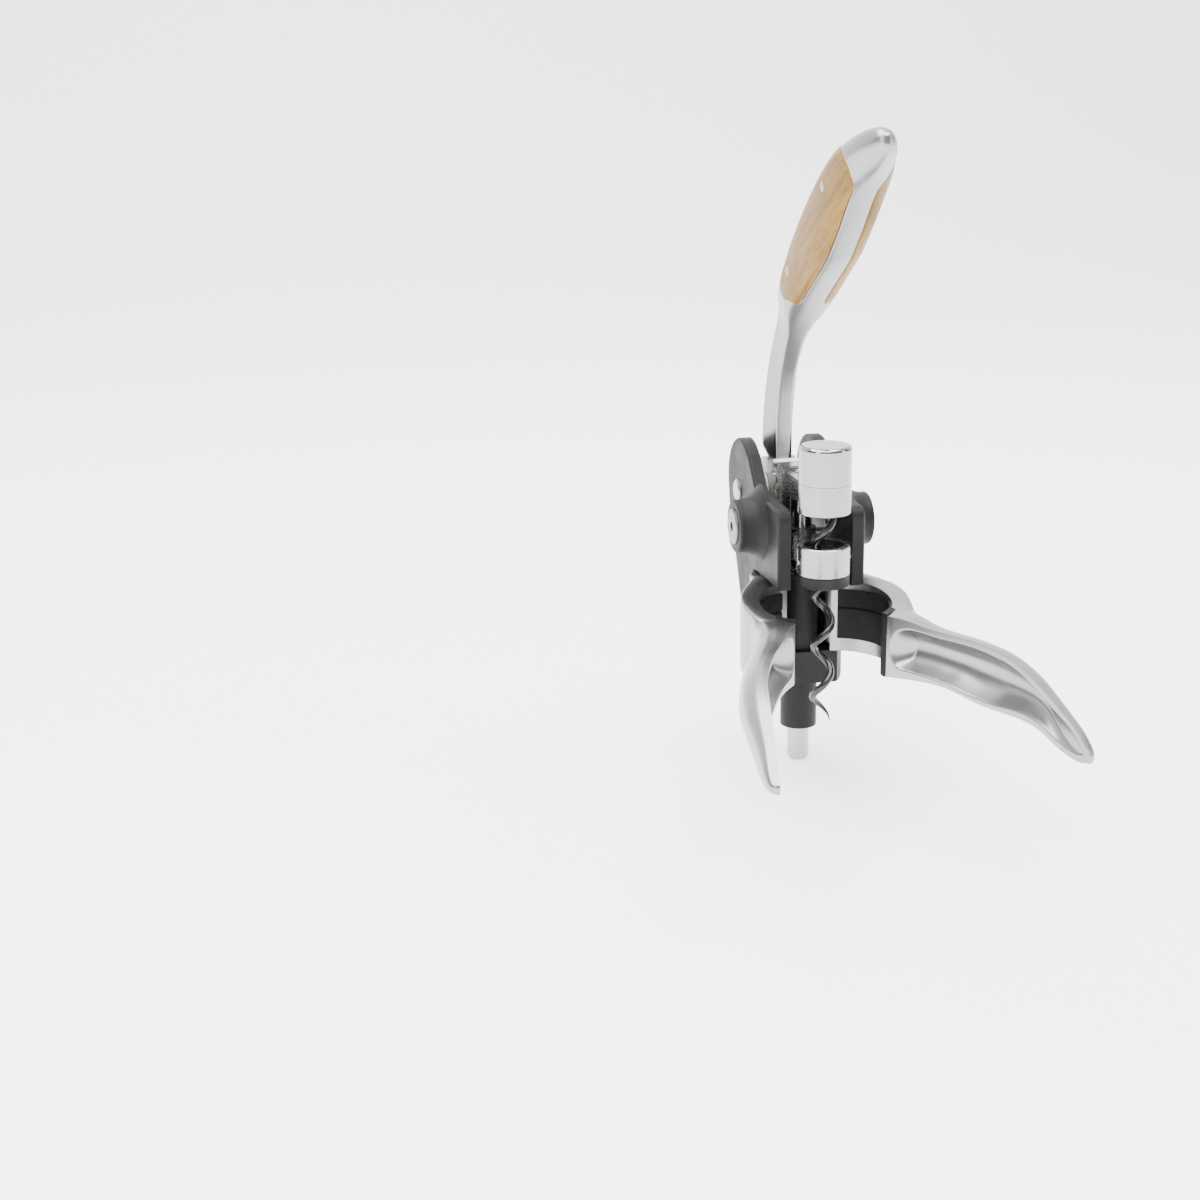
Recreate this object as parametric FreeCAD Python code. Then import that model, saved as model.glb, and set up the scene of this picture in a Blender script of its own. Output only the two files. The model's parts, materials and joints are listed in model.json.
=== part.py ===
import FreeCAD, Part
import math
import os

# Lever corkscrew, millimetres.
# Origin: on the worm's axis, in the plane where the nut's pad meets the cork.
# +X points from the frame towards the tips of the two grips, +Z is up along the
# worm's axis, and the two grips mirror each other across the XZ plane.
# Left is +Y and right is -Y. The model is built in its rest pose: the lever is
# raised off its front stop and the two grips are held open.

os.makedirs("parts", exist_ok=True)
V = FreeCAD.Vector

# ---------------------------------------------------------------- driving sizes
RUN = 0.05            # radial running clearance of a shaft in its hole
FACE_GAP = 0.3        # gap between faces of pieces that slide past each other

# rest pose
LEVER_RAISED = 45.0   # lever angle above its front stop
LEFT_OPEN = 20.6      # how far each grip is swung out
RIGHT_OPEN = 19.2

# lever hinge, gear and rack
PIVOT_X = -43.6
PIVOT_Z = 18.7
TEETH = 14            # teeth of a full gear
MODULE = 1.65
PRESSURE = 28.0       # pressure angle, degrees
ADDENDUM = 1.35
DEDENDUM = 1.85
BACKLASH = 0.24
GEAR_HALF = 4.6       # half width of the gear
PIVOT_PIN_R = 2.5
PITCH_R = TEETH * MODULE / 2
TOOTH_PITCH = math.pi * MODULE
RISE = PITCH_R * math.radians(LEVER_RAISED)    # carrier height at rest above its lowest

# frame casting
PLATE_IN = 9.1        # inner and outer faces of the side plates
PLATE_OUT = 12.9
FRAME_FRONT = -1.7
FRAME_TOP = 22.0
LOBE_X = -42.8        # round lobe that carries the lever hinge
LOBE_Z = 21.4
LOBE_R = 13.2
HEAD_BOTTOM = -1.8    # underside of the frame's head, above the grips
FOOT_TOP = -24.9      # upper face of the foot block, below the grips
FOOT_BOTTOM = -34.8
FOOT_FRONT = -14.5
NOTCH_X = -26.9       # back of the notch that the grips' barrels sit in
ROD_X = -21.9         # axis of the guide rod and its column
COLUMN_R = 5.45
COLUMN_BOTTOM = -49.7
CHANNEL_HALF = 5.2    # half width of the slot for the rack and the lever's arm

# guide rod
ROD_R = 3.2
ROD_BOTTOM = -69.5    # with the carrier at its lowest
BUSH_WALL = 0.9
BUSH_LENGTH = 12.0

# worm and its head, heights with the carrier at its lowest
CAP_TOP = 31.3
SEAM_Z = 20.45
COLLAR_BOTTOM = 11.9
HEAD_R = 7.45
WORM_PITCH = 15.2
WORM_R = 3.55         # outer radius of the coil
WIRE_R = 1.05
WORM_TIP = -50.3
WORM_PHASE = -109.8   # angle about the axis that the wire passes at rest ...
PHASE_Z = -3.5        # ... at this height
POINT_LENGTH = 6.5
POINT_R = 0.12
SHANK_R = 2.6
FLANGE_R = 4.6
WALL = 1.6

# carrier
ARM_TOP = 19.1        # heights with the carrier at its lowest
ARM_HEIGHT = 7.0
ARM_HALF = 4.4
RACK_TOP = 20.2
RACK_BOTTOM = -32.0
RACK_HALF = 4.6
RACK_FRONT = -27.75
CHANNEL_X = RACK_FRONT + 0.35    # front of the frame's slot, clear of the rack

# nut carriage
RING_TOP = 11.7
PAD_HEIGHT = 3.2      # cork pad under the ring
RING_BORE_R = 5.65
SLEEVE_R = 4.5
EAR_OUT = 8.7
EAR_TOP = 10.4
PIN_R = 0.9           # guide pins that run along the worm's wire

# detents in the frame's bosses
BOSS_X = -21.9
BOSS_Z = 13.0
BOSS_R = 7.8
BOSS_FLARE = 12.0
BOSS_OUT = 20.3
PLUG_R = 5.2
PLUG_OUT = 21.0
SOCKET_R = 1.4
DETENT_BORE = 3.1
BORE_STEP = 2.0       # depth behind the plate's inner face where the bore widens
PLUNGER_COLLAR = 1.2
PLUG_SHANK = 3.0
NOSE_R = 2.1
NOSE_IN = 7.3
SPRING_WAVES = 4
SPRING_WALL = 0.3
SPRING_DEPTH = 0.5

# grips, in their closed place
HINGE_X = -22.0
HINGE_Y = 11.0
HINGE_PIN_R = 1.25
BARREL_R = 4.2
GRIP_GAP = 0.6        # half of the gap between the closed grips
NECK_R = 14.3         # radius of the bottle's neck that the pads close on
NECK_X = -2.24        # middle of the jaw's arc; it meets the worm's axis when the grips
NECK_Y = -3.65        # hold a neck, each about 10 degrees open
PAD_THICK = 2.2
PAD_PROUD = 0.4       # pad stands this far inside the metal
JAW_WALL = 3.7
JAW_TOP = -2.3
JAW_BOTTOM = -24.6
JAW_FRONT = 35.0      # angles where the jaw's ring starts, under the handle's root, and
JAW_BACK = 150.0      # where it ends, near the hinge
RIM_HEIGHT = 3.35     # from the highest metal down to the pad
BAND_HEIGHT = 4.15    # metal band below the pad
GROOVE_SHARE = 0.35   # how far down the pad its groove runs
GROOVE_HALF = 0.45
STRIP_TURN = 8.0      # the pad's front end runs down over the band for this many degrees
DRAWN_TIP = 90.0      # tip of the handle in the tables below
TIP_X = 90.0
DISH_WALL = 2.2

# the jaw's upper edge seen from the side: X, Z
JAW_EDGE = ((-30.0, JAW_TOP), (-15.0, -2.5), (-8.0, -3.2), (-2.0, -3.8), (3.0, -4.6), (8.0, -5.4), (20.0, -6.0))
# stations along the closed handle: X, top, bottom, inner Y, outer Y, width of the flat top
HANDLE = (
    (10.0, -5.8, -24.5, 0.6, 13.3, 8.0), (14.0, -6.0, -24.1, 0.6, 11.6, 6.8),
    (19.5, -5.9, -23.2, 1.7, 11.4, 4.7), (26.0, -6.6, -22.6, 3.1, 12.3, 3.4),
    (34.0, -6.9, -22.4, 4.4, 13.2, 2.5), (42.0, -6.9, -23.4, 5.5, 13.9, 2.2),
    (50.0, -7.3, -24.1, 6.1, 13.9, 2.1), (58.0, -8.7, -23.6, 5.9, 13.3, 2.0),
    (65.0, -10.8, -23.4, 5.1, 11.8, 2.0), (72.0, -13.5, -24.5, 4.1, 9.7, 1.9),
    (79.0, -16.6, -26.4, 3.1, 7.6, 1.8), (84.5, -19.5, -26.9, 2.3, 6.0, 1.7),
    (88.0, -22.1, -26.3, 1.7, 4.6, 1.4), (DRAWN_TIP, -24.0, -25.4, 1.3, 2.7, 0.8))
# dish in the inner face: X, top, bottom, depth
DISH = (
    (17.0, -10.4, -19.9, 1.6), (20.0, -8.8, -20.6, 4.4), (26.0, -8.5, -20.8, 5.4),
    (34.0, -8.6, -21.2, 5.4), (42.0, -8.5, -22.3, 5.4), (50.0, -9.1, -22.7, 5.4),
    (58.0, -10.3, -21.9, 5.0), (65.0, -12.5, -21.6, 4.2), (72.0, -15.3, -22.7, 3.0),
    (79.0, -18.0, -24.7, 1.7), (84.5, -20.9, -25.2, 0.8))

# lever handle, in the lever's own frame: pivot at 0, lever lowered, X forward
ARM_HALF_ROOT = 3.0
ARM_HALF_END = 4.0
TANG_HALF = 2.7
SCALE_OUT = 8.1
SCALE_START = 60.0
SCALE_END = 124.0
RIVETS = ((71.3, 26.0), (109.4, 22.4))
RIVET_R = 1.45


# ---------------------------------------------------------------- small helpers
def save(name, shape):
    """Write one solid, or one group of like solids, as its own file."""
    shape.exportStep("parts/" + name + ".step")


def fuse(first, *others):
    return first.multiFuse(list(others)).removeSplitter()


def cylinder(radius, start, end):
    """Round bar between two points."""
    along = end - start
    return Part.makeCylinder(radius, along.Length, start, along)


def tube(outer, inner, start, end):
    return cylinder(outer, start, end).cut(cylinder(inner, start, end))


def box(x0, x1, y0, y1, z0, z1):
    return Part.makeBox(x1 - x0, y1 - y0, z1 - z0, V(x0, y0, z0))


def rounded_wire(corners, place):
    """Closed outline of straight runs with a radius at each corner.
    corners: (u, v, radius); place turns (u, v) into a point."""
    count = len(corners)
    ends = []
    edges = []
    for i, (u, v, radius) in enumerate(corners):
        pu, pv, _ = corners[i - 1]
        nu, nv, _ = corners[(i + 1) % count]
        here = V(u, v, 0)
        back = (V(pu, pv, 0) - here).normalize()
        ahead = (V(nu, nv, 0) - here).normalize()
        if radius == 0:
            ends.append((here, None, here))
            continue
        half = back.getAngle(ahead) / 2
        cut = radius / math.tan(half)
        middle = (back + ahead).normalize()
        bulge = here + middle * (radius / math.sin(half) - radius)
        ends.append((here + back * cut, bulge, here + ahead * cut))
    for i, (start, bulge, end) in enumerate(ends):
        if bulge is not None:
            edges.append(Part.Arc(place(start), place(bulge), place(end)).toShape())
        after = ends[(i + 1) % count][0]
        if (after - end).Length > 1e-6:
            edges.append(Part.LineSegment(place(end), place(after)).toShape())
    return Part.Wire(edges)


def side_slab(corners, y0, y1):
    """Outline in X and Z, given thickness from y0 to y1."""
    wire = rounded_wire(corners, lambda p: V(p.x, y0, p.y))
    return Part.Face(wire).extrude(V(0, y1 - y0, 0))


def plan_slab(corners, z0, z1):
    """Outline in X and Y, given height from z0 to z1."""
    wire = rounded_wire(corners, lambda p: V(p.x, p.y, z0))
    return Part.Face(wire).extrude(V(0, 0, z1 - z0))


def turned(profile, base, axis):
    """Solid of revolution. profile: (radius, distance along axis) points."""
    points = [V(r, 0, h) for r, h in profile]
    points.append(points[0])
    solid = Part.Face(Part.makePolygon(points)).revolve(V(0, 0, 0), V(0, 0, 1), 360)
    turn = FreeCAD.Rotation(V(0, 0, 1), axis)
    solid.Placement = FreeCAD.Placement(base, turn)
    return solid


def smooth_slab(upper, lower, y0, y1):
    """Slab between two smooth curves in X and Z that run the same way."""
    curves = []
    for line in (upper, lower):
        curve = Part.BSplineCurve()
        curve.interpolate([V(x, y0, z) for x, z in line])
        curves.append(curve.toShape())
    joins = [Part.makeLine(V(u[0], y0, u[1]), V(w[0], y0, w[1]))
             for u, w in ((upper[0], lower[0]), (upper[-1], lower[-1]))]
    wire = Part.Wire(Part.__sortEdges__(curves + joins))
    return Part.Face(wire).extrude(V(0, y1 - y0, 0))


def mirrored(shape):
    return shape.mirror(V(0, 0, 0), V(0, 1, 0))


def sided(shape, side):
    """The left piece as built, or the right one as its mirror image."""
    return shape if side > 0 else mirrored(shape)


def lift(shape):
    """Move a carrier piece from its lowest place to its rest place."""
    moved = shape.copy()
    moved.translate(V(0, 0, RISE))
    return moved


def pose_lever(shape):
    """Put a lever piece, drawn about its own pivot, in its rest place."""
    moved = shape.copy()
    moved.rotate(V(0, 0, 0), V(0, -1, 0), LEVER_RAISED)
    moved.translate(V(PIVOT_X, 0, PIVOT_Z))
    return moved


def pose_grip(shape, side):
    """Swing a closed grip piece out about its hinge pin."""
    moved = sided(shape, side)
    angle = LEFT_OPEN if side > 0 else -RIGHT_OPEN
    moved = moved.copy()
    moved.rotate(V(HINGE_X, side * HINGE_Y, 0), V(0, 0, 1), angle)
    return moved


SIDES = (("left", 1), ("right", -1))


# ---------------------------------------------------------------- frame
def side_plate():
    """Left plate: head, neck and foot in one outline, with its round lobe."""
    outline = [
        (-33.5, 31.5, 0), (-25.0, 22.2, 2.5), (FRAME_FRONT, FRAME_TOP - 0.9, 3.2),
        (FRAME_FRONT, HEAD_BOTTOM, 0.8), (NOTCH_X, HEAD_BOTTOM, 1.0),
        (NOTCH_X, FOOT_TOP, 1.0), (FOOT_FRONT, FOOT_TOP, 0.6),
        (FOOT_FRONT, FOOT_BOTTOM, 1.2), (-30.9, FOOT_BOTTOM - 1.3, 2.4),
        (-54.6, 12.6, 8.0), (LOBE_X - LOBE_R, LOBE_Z, 0)]
    plate = side_slab(outline, PLATE_IN, PLATE_OUT)
    lobe = cylinder(LOBE_R, V(LOBE_X, PLATE_IN, LOBE_Z), V(LOBE_X, PLATE_OUT, LOBE_Z))
    return fuse(plate, lobe)


def softened(plate):
    """Round the rim of the plate's outer face."""
    rim = [e for e in plate.Edges
           if abs(e.BoundBox.YMin - PLATE_OUT) < 1e-4 and abs(e.BoundBox.YMax - PLATE_OUT) < 1e-4]
    return plate.makeFillet(0.9, rim)


def boss():
    """Flared round boss around the detent: a smooth flare, a straight neck, a rounded rim."""
    base = PLATE_OUT - 1.0
    spread = BOSS_FLARE - BOSS_R
    height = BOSS_OUT - base
    flare = Part.BSplineCurve()
    shares = ((1.0, 0.0), (0.62, 0.17), (0.27, 0.36), (0.08, 0.58), (0.0, 0.78))
    flare.interpolate([V(BOSS_R + spread * across, 0, base + height * up) for across, up in shares])
    rim = 0.7
    low = V(BOSS_R, 0, base + height * shares[-1][1])
    side = V(BOSS_R, 0, BOSS_OUT - rim)
    inset = rim * (1 - math.cos(math.pi / 4))
    bend = V(BOSS_R - inset, 0, BOSS_OUT - inset)
    top = V(BOSS_R - rim, 0, BOSS_OUT)
    edges = [Part.makeLine(V(0, 0, base), V(BOSS_FLARE, 0, base)), flare.toShape(), Part.makeLine(low, side),
             Part.Arc(side, bend, top).toShape(), Part.makeLine(top, V(0, 0, BOSS_OUT)),
             Part.makeLine(V(0, 0, BOSS_OUT), V(0, 0, base))]
    solid = Part.Face(Part.Wire(edges)).revolve(V(0, 0, 0), V(0, 0, 1), 360)
    solid.Placement = FreeCAD.Placement(V(BOSS_X, 0, BOSS_Z), FreeCAD.Rotation(V(0, 0, 1), V(0, 1, 0)))
    return solid


def frame():
    """One casting: two side plates, the foot block, the rod's column and the bosses."""
    solids = []
    for name, side in SIDES:
        solids.append(sided(softened(side_plate()), side))
        solids.append(sided(boss(), side))
    foot = plan_slab([
        (-30.0, PLATE_IN + 0.5, 0), (-21.0, PLATE_OUT - 0.9, 1.0), (FOOT_FRONT, PLATE_OUT - 3.4, 1.0),
        (FOOT_FRONT, -PLATE_OUT + 3.4, 1.0), (-21.0, -PLATE_OUT + 0.9, 1.0),
        (-30.0, -PLATE_IN - 0.5, 0)], FOOT_BOTTOM, FOOT_TOP)
    column = cylinder(COLUMN_R, V(ROD_X, 0, COLUMN_BOTTOM), V(ROD_X, 0, HEAD_BOTTOM))
    web_left = box(-30.0, NOTCH_X + 0.1, CHANNEL_HALF, PLATE_IN + 0.5, FOOT_BOTTOM, HEAD_BOTTOM)
    web_tie = box(CHANNEL_X, NOTCH_X + 0.1, 0, PLATE_IN + 0.5, FOOT_BOTTOM, HEAD_BOTTOM)
    solids += [foot, column, web_left, mirrored(web_left), web_tie, mirrored(web_tie)]
    body = fuse(solids[0], *solids[1:])
    # slot for the rack and the lever's arm, open at the back
    body = body.cut(box(-70.0, CHANNEL_X, -CHANNEL_HALF, CHANNEL_HALF, -60.0, 60.0))
    # the foot's front corners lean in, so the plates' tips are cut to match
    for side in (1, -1):
        corner = plan_slab([
            (-21.0, PLATE_OUT + 0.1, 0), (FOOT_FRONT + 0.1, PLATE_OUT + 0.1, 0),
            (FOOT_FRONT + 0.1, PLATE_OUT - 3.4, 0)], FOOT_BOTTOM - 2.0, FOOT_TOP + 0.0)
        body = body.cut(sided(corner, side))
    # bores: guide rod, hinge pins, lever pin and detents
    bush_r = ROD_R + RUN + BUSH_WALL
    body = body.cut(cylinder(bush_r, V(ROD_X, 0, COLUMN_BOTTOM + 2.0), V(ROD_X, 0, HEAD_BOTTOM)))
    body = body.cut(cylinder(ROD_R + FACE_GAP, V(ROD_X, 0, COLUMN_BOTTOM), V(ROD_X, 0, 0)))
    body = body.cut(cylinder(PIVOT_PIN_R, V(PIVOT_X, -30, PIVOT_Z), V(PIVOT_X, 30, PIVOT_Z)))
    for side in (1, -1):
        body = body.cut(cylinder(HINGE_PIN_R, V(HINGE_X, side * HINGE_Y, FOOT_TOP - 6.0),
                                 V(HINGE_X, side * HINGE_Y, HEAD_BOTTOM + 4.0)))
        body = body.cut(cylinder(NOSE_R + RUN, V(BOSS_X, side * (PLATE_IN - 1), BOSS_Z),
                                 V(BOSS_X, side * BOSS_OUT, BOSS_Z)))
        body = body.cut(cylinder(DETENT_BORE, V(BOSS_X, side * (PLATE_IN + BORE_STEP), BOSS_Z),
                                 V(BOSS_X, side * BOSS_OUT, BOSS_Z)))
    return body


def rod_bush(top):
    """Plain bearing pressed into the column for the guide rod."""
    return tube(ROD_R + RUN + BUSH_WALL, ROD_R + RUN, V(ROD_X, 0, top - BUSH_LENGTH), V(ROD_X, 0, top))


def pivot_pin():
    """Headed pin through both plates and the lever's hub, riveted over at its far end."""
    head_r = 3.3
    head = 0.9
    dome = [(0, 0), (head_r, 0), (head_r, 0.45), (head_r - 0.5, head), (0, head)]
    pin = cylinder(PIVOT_PIN_R, V(PIVOT_X, -PLATE_OUT, PIVOT_Z), V(PIVOT_X, PLATE_OUT, PIVOT_Z))
    ends = [turned(dome, V(PIVOT_X, side * PLATE_OUT, PIVOT_Z), V(0, side, 0)) for side in (1, -1)]
    return fuse(pin, *ends)


def pivot_washer():
    """Spacer that centres the lever's hub between the plates."""
    return tube(PIVOT_PIN_R + 2.2, PIVOT_PIN_R + RUN, V(PIVOT_X, GEAR_HALF + RUN * 2, PIVOT_Z),
                V(PIVOT_X, PLATE_IN - RUN * 2, PIVOT_Z))


def detent_plug():
    """Screw plug with a round socket that closes the boss and backs the spring."""
    shank = cylinder(DETENT_BORE, V(BOSS_X, BOSS_OUT - PLUG_SHANK, BOSS_Z), V(BOSS_X, BOSS_OUT, BOSS_Z))
    rim = PLUG_OUT - BOSS_OUT
    head = turned([(0, 0), (PLUG_R, 0), (PLUG_R, rim - 0.3), (PLUG_R - 0.5, rim), (0, rim)],
                  V(BOSS_X, BOSS_OUT, BOSS_Z), V(0, 1, 0))
    socket = cylinder(SOCKET_R, V(BOSS_X, PLUG_OUT - 2.0, BOSS_Z), V(BOSS_X, PLUG_OUT, BOSS_Z))
    return fuse(shank, head).cut(socket)


def detent_plunger():
    """Domed plunger whose nose overhangs the nut carriage's ear and holds it down."""
    back = PLATE_IN + BORE_STEP
    length = back - NOSE_IN
    nose = turned([(0, 0), (NOSE_R, 0), (NOSE_R, length - 1.3), (NOSE_R - 0.6, length - 0.4),
                   (NOSE_R - 1.3, length), (0, length)], V(BOSS_X, back, BOSS_Z), V(0, -1, 0))
    collar = cylinder(DETENT_BORE - RUN, V(BOSS_X, back, BOSS_Z),
                      V(BOSS_X, back + PLUNGER_COLLAR, BOSS_Z))
    return fuse(nose, collar)


def detent_spring():
    """Corrugated spring sleeve between the plunger's collar and the plug."""
    start = PLATE_IN + BORE_STEP + PLUNGER_COLLAR
    length = BOSS_OUT - PLUG_SHANK - start
    crest = DETENT_BORE - SPRING_WALL
    steps = 2 * SPRING_WAVES
    outside = [(crest - SPRING_DEPTH * (i % 2), length * i / steps) for i in range(steps + 1)]
    inside = [(radius - SPRING_WALL, along) for radius, along in reversed(outside)]
    return turned(outside + inside, V(BOSS_X, start, BOSS_Z), V(0, 1, 0))


# ---------------------------------------------------------------- gear and rack
def gear_tooth(centre):
    """One involute tooth of the lever's gear, pointing along the given angle."""
    base = PITCH_R * math.cos(math.radians(PRESSURE))
    tip = PITCH_R + ADDENDUM
    root = PITCH_R - DEDENDUM - 0.6
    inv = math.tan(math.radians(PRESSURE)) - math.radians(PRESSURE)
    half = (TOOTH_PITCH / 2 - BACKLASH / 2) / 2 / PITCH_R + inv

    def flank_angle(radius):
        rolled = math.sqrt(max(radius * radius / base / base - 1, 0))
        return half - (rolled - math.atan(rolled))

    steps = 6
    radii = [base + (tip - base) * i / steps for i in range(steps + 1)]
    flank = [(r, flank_angle(r)) for r in radii]
    flank.insert(0, (root, half))
    low = [V(r * math.cos(a), -GEAR_HALF, r * math.sin(a)) for r, a in flank]
    high = [V(r * math.cos(a), -GEAR_HALF, -r * math.sin(a)) for r, a in flank]
    outline = Part.makePolygon(low + high[::-1] + [low[0]])
    tooth = Part.Face(outline).extrude(V(0, 2 * GEAR_HALF, 0))
    tooth.rotate(V(0, 0, 0), V(0, -1, 0), centre)
    return tooth


def rack():
    """Toothed bar, with its teeth on the back; at rest a gap faces the pivot."""
    pitch_x = PIVOT_X + PITCH_R
    half = TOOTH_PITCH / 4 - BACKLASH / 4
    slope = math.tan(math.radians(PRESSURE))
    root_x = pitch_x + DEDENDUM
    body = box(root_x - 0.05, RACK_FRONT, -RACK_HALF, RACK_HALF, RACK_BOTTOM, RACK_TOP)
    centre = PIVOT_Z - RISE + TOOTH_PITCH / 2
    teeth = []
    first = math.ceil((RACK_BOTTOM - centre) / TOOTH_PITCH + 0.4)
    last = math.floor((RACK_TOP - centre) / TOOTH_PITCH - 0.4)
    for i in range(first, last + 1):
        z = centre + i * TOOTH_PITCH
        tip_half = half - ADDENDUM * slope
        root_half = half + DEDENDUM * slope
        points = [V(root_x, -RACK_HALF, z - root_half), V(pitch_x - ADDENDUM, -RACK_HALF, z - tip_half),
                  V(pitch_x - ADDENDUM, -RACK_HALF, z + tip_half), V(root_x, -RACK_HALF, z + root_half)]
        points.append(points[0])
        teeth.append(Part.Face(Part.makePolygon(points)).extrude(V(0, 2 * RACK_HALF, 0)))
    return fuse(body, *teeth)


# ---------------------------------------------------------------- carrier and worm
def carrier():
    """Rack, arm and worm collar in one casting."""
    arm_bottom = ARM_TOP - ARM_HEIGHT
    arm = side_slab([(RACK_FRONT - 1.0, ARM_TOP, 0), (-2.0, ARM_TOP, 0), (-2.0, COLLAR_BOTTOM + 0.6, 0),
                     (-14.0, arm_bottom + 0.6, 2.0), (RACK_FRONT - 1.0, arm_bottom, 0)],
                    -ARM_HALF, ARM_HALF)
    head = box(RACK_FRONT - 1.5, RACK_FRONT + 3.0, -RACK_HALF, RACK_HALF, ARM_TOP - 1.0, RACK_TOP)
    collar = cylinder(HEAD_R, V(0, 0, COLLAR_BOTTOM), V(0, 0, SEAM_Z))
    lip = 0.45
    rim = [e for e in collar.Edges if abs(e.BoundBox.ZMax - COLLAR_BOTTOM) < 1e-4]
    collar = collar.makeFillet(lip, rim)
    body = fuse(rack(), arm, head, collar)
    bore = cylinder(SHANK_R + RUN, V(0, 0, COLLAR_BOTTOM - 1), V(0, 0, SEAM_Z + 1))
    pocket = cylinder(FLANGE_R + FACE_GAP, V(0, 0, SEAM_Z - 3.2), V(0, 0, SEAM_Z + 1))
    relief = cylinder(WORM_R + 0.9, V(0, 0, COLLAR_BOTTOM - 1), V(0, 0, COLLAR_BOTTOM + 2.2))
    rod_hole = cylinder(ROD_R, V(ROD_X, 0, 0), V(ROD_X, 0, ARM_TOP - 2.4))
    screw_hole = cylinder(1.25, V(ROD_X, 0, 0), V(ROD_X, 0, ARM_TOP + 1))
    for hole in (bore, pocket, relief, rod_hole, screw_hole):
        body = body.cut(hole)
    return lift(body)


def guide_rod():
    """Polished rod fixed under the carrier's arm; it slides in the column."""
    top = ARM_TOP - 2.4
    bar = cylinder(ROD_R, V(ROD_X, 0, ROD_BOTTOM), V(ROD_X, 0, top))
    bar = bar.makeChamfer(0.6, [e for e in bar.Edges if abs(e.BoundBox.ZMax - ROD_BOTTOM) < 1e-4])
    tapped = cylinder(1.25, V(ROD_X, 0, top - 6.0), V(ROD_X, 0, top))
    return lift(bar.cut(tapped))


def rod_screw():
    """Countersunk screw through the arm into the rod, with a hex socket."""
    shank = cylinder(1.25, V(ROD_X, 0, ARM_TOP - 8.0), V(ROD_X, 0, ARM_TOP))
    head = turned([(0, 0), (1.9, 0), (1.9, 0.25), (1.5, 0.5), (0, 0.5)], V(ROD_X, 0, ARM_TOP), V(0, 0, 1))
    socket = cylinder(0.7, V(ROD_X, 0, ARM_TOP - 0.6), V(ROD_X, 0, ARM_TOP + 1))
    return lift(fuse(shank, head).cut(socket))


def head_cap():
    """Polished cap over the worm's head, hollow, pressed on a spigot ring."""
    cap = cylinder(HEAD_R, V(0, 0, SEAM_Z + 0.12), V(0, 0, CAP_TOP))
    top = [e for e in cap.Edges if abs(e.BoundBox.ZMin - CAP_TOP) < 1e-4]
    cap = cap.makeFillet(1.1, top)
    hollow = cylinder(HEAD_R - WALL, V(0, 0, SEAM_Z), V(0, 0, CAP_TOP - WALL))
    spigot = tube(FLANGE_R + FACE_GAP + 0.9, FLANGE_R + FACE_GAP, V(0, 0, SEAM_Z), V(0, 0, SEAM_Z + 1.6))
    floor = tube(HEAD_R - 0.5, FLANGE_R + FACE_GAP, V(0, 0, SEAM_Z), V(0, 0, SEAM_Z + 0.6))
    return lift(fuse(cap.cut(hollow), spigot, floor))


def worm():
    """Coiled wire with a sharpened point, on a flanged shank that spins in the collar."""
    path_r = WORM_R - WIRE_R
    top = COLLAR_BOTTOM + 2.6
    turns_height = top - WORM_TIP - POINT_LENGTH
    path = Part.makeHelix(WORM_PITCH, turns_height, path_r)
    lead = WORM_PITCH / (2 * math.pi * path_r)
    ring = Part.Wire(Part.makeCircle(WIRE_R, V(path_r, 0, 0), V(0, 1, lead)))
    wire = Part.Wire(path).makePipeShell([ring], True, True)
    point_path = Part.makeHelix(WORM_PITCH, POINT_LENGTH, path_r)
    small = Part.Wire(Part.makeCircle(POINT_R, V(path_r, 0, 0), V(0, 1, lead)))
    turn = FreeCAD.Placement(V(0, 0, POINT_LENGTH),
                             FreeCAD.Rotation(V(0, 0, 1), 360.0 * POINT_LENGTH / WORM_PITCH))
    big = ring.copy()
    big.Placement = turn
    point = Part.Wire(point_path).makePipeShell([small, big], True, True)
    wire.Placement = turn
    coil_solid = fuse(wire, point)
    coil_solid.translate(V(0, 0, WORM_TIP))
    shank = cylinder(SHANK_R, V(0, 0, top - 1.4), V(0, 0, SEAM_Z + 3.0))
    base = cylinder(WORM_R + 0.3, V(0, 0, top - 1.9), V(0, 0, COLLAR_BOTTOM + 2.1))
    flange = cylinder(FLANGE_R, V(0, 0, SEAM_Z - 2.0), V(0, 0, SEAM_Z - 0.6))
    whole = fuse(coil_solid, shank, base, flange)
    whole.rotate(V(0, 0, 0), V(0, 0, 1), worm_turn())
    return lift(whole)


def worm_turn():
    """Turn that brings the wire to its phase angle at its phase height."""
    return WORM_PHASE - 360.0 * (PHASE_Z - RISE - WORM_TIP) / WORM_PITCH


def thrust_washer():
    """Low-friction washer between the worm's flange and the collar."""
    return lift(tube(FLANGE_R, SHANK_R + RUN, V(0, 0, SEAM_Z - 3.2), V(0, 0, SEAM_Z - 2.05)))


def shank_clip():
    """Round retaining clip at the top of the worm's shank, inside the cap."""
    return lift(tube(FLANGE_R - 0.6, SHANK_R, V(0, 0, SEAM_Z + 1.0), V(0, 0, SEAM_Z + 2.2)))


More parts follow.
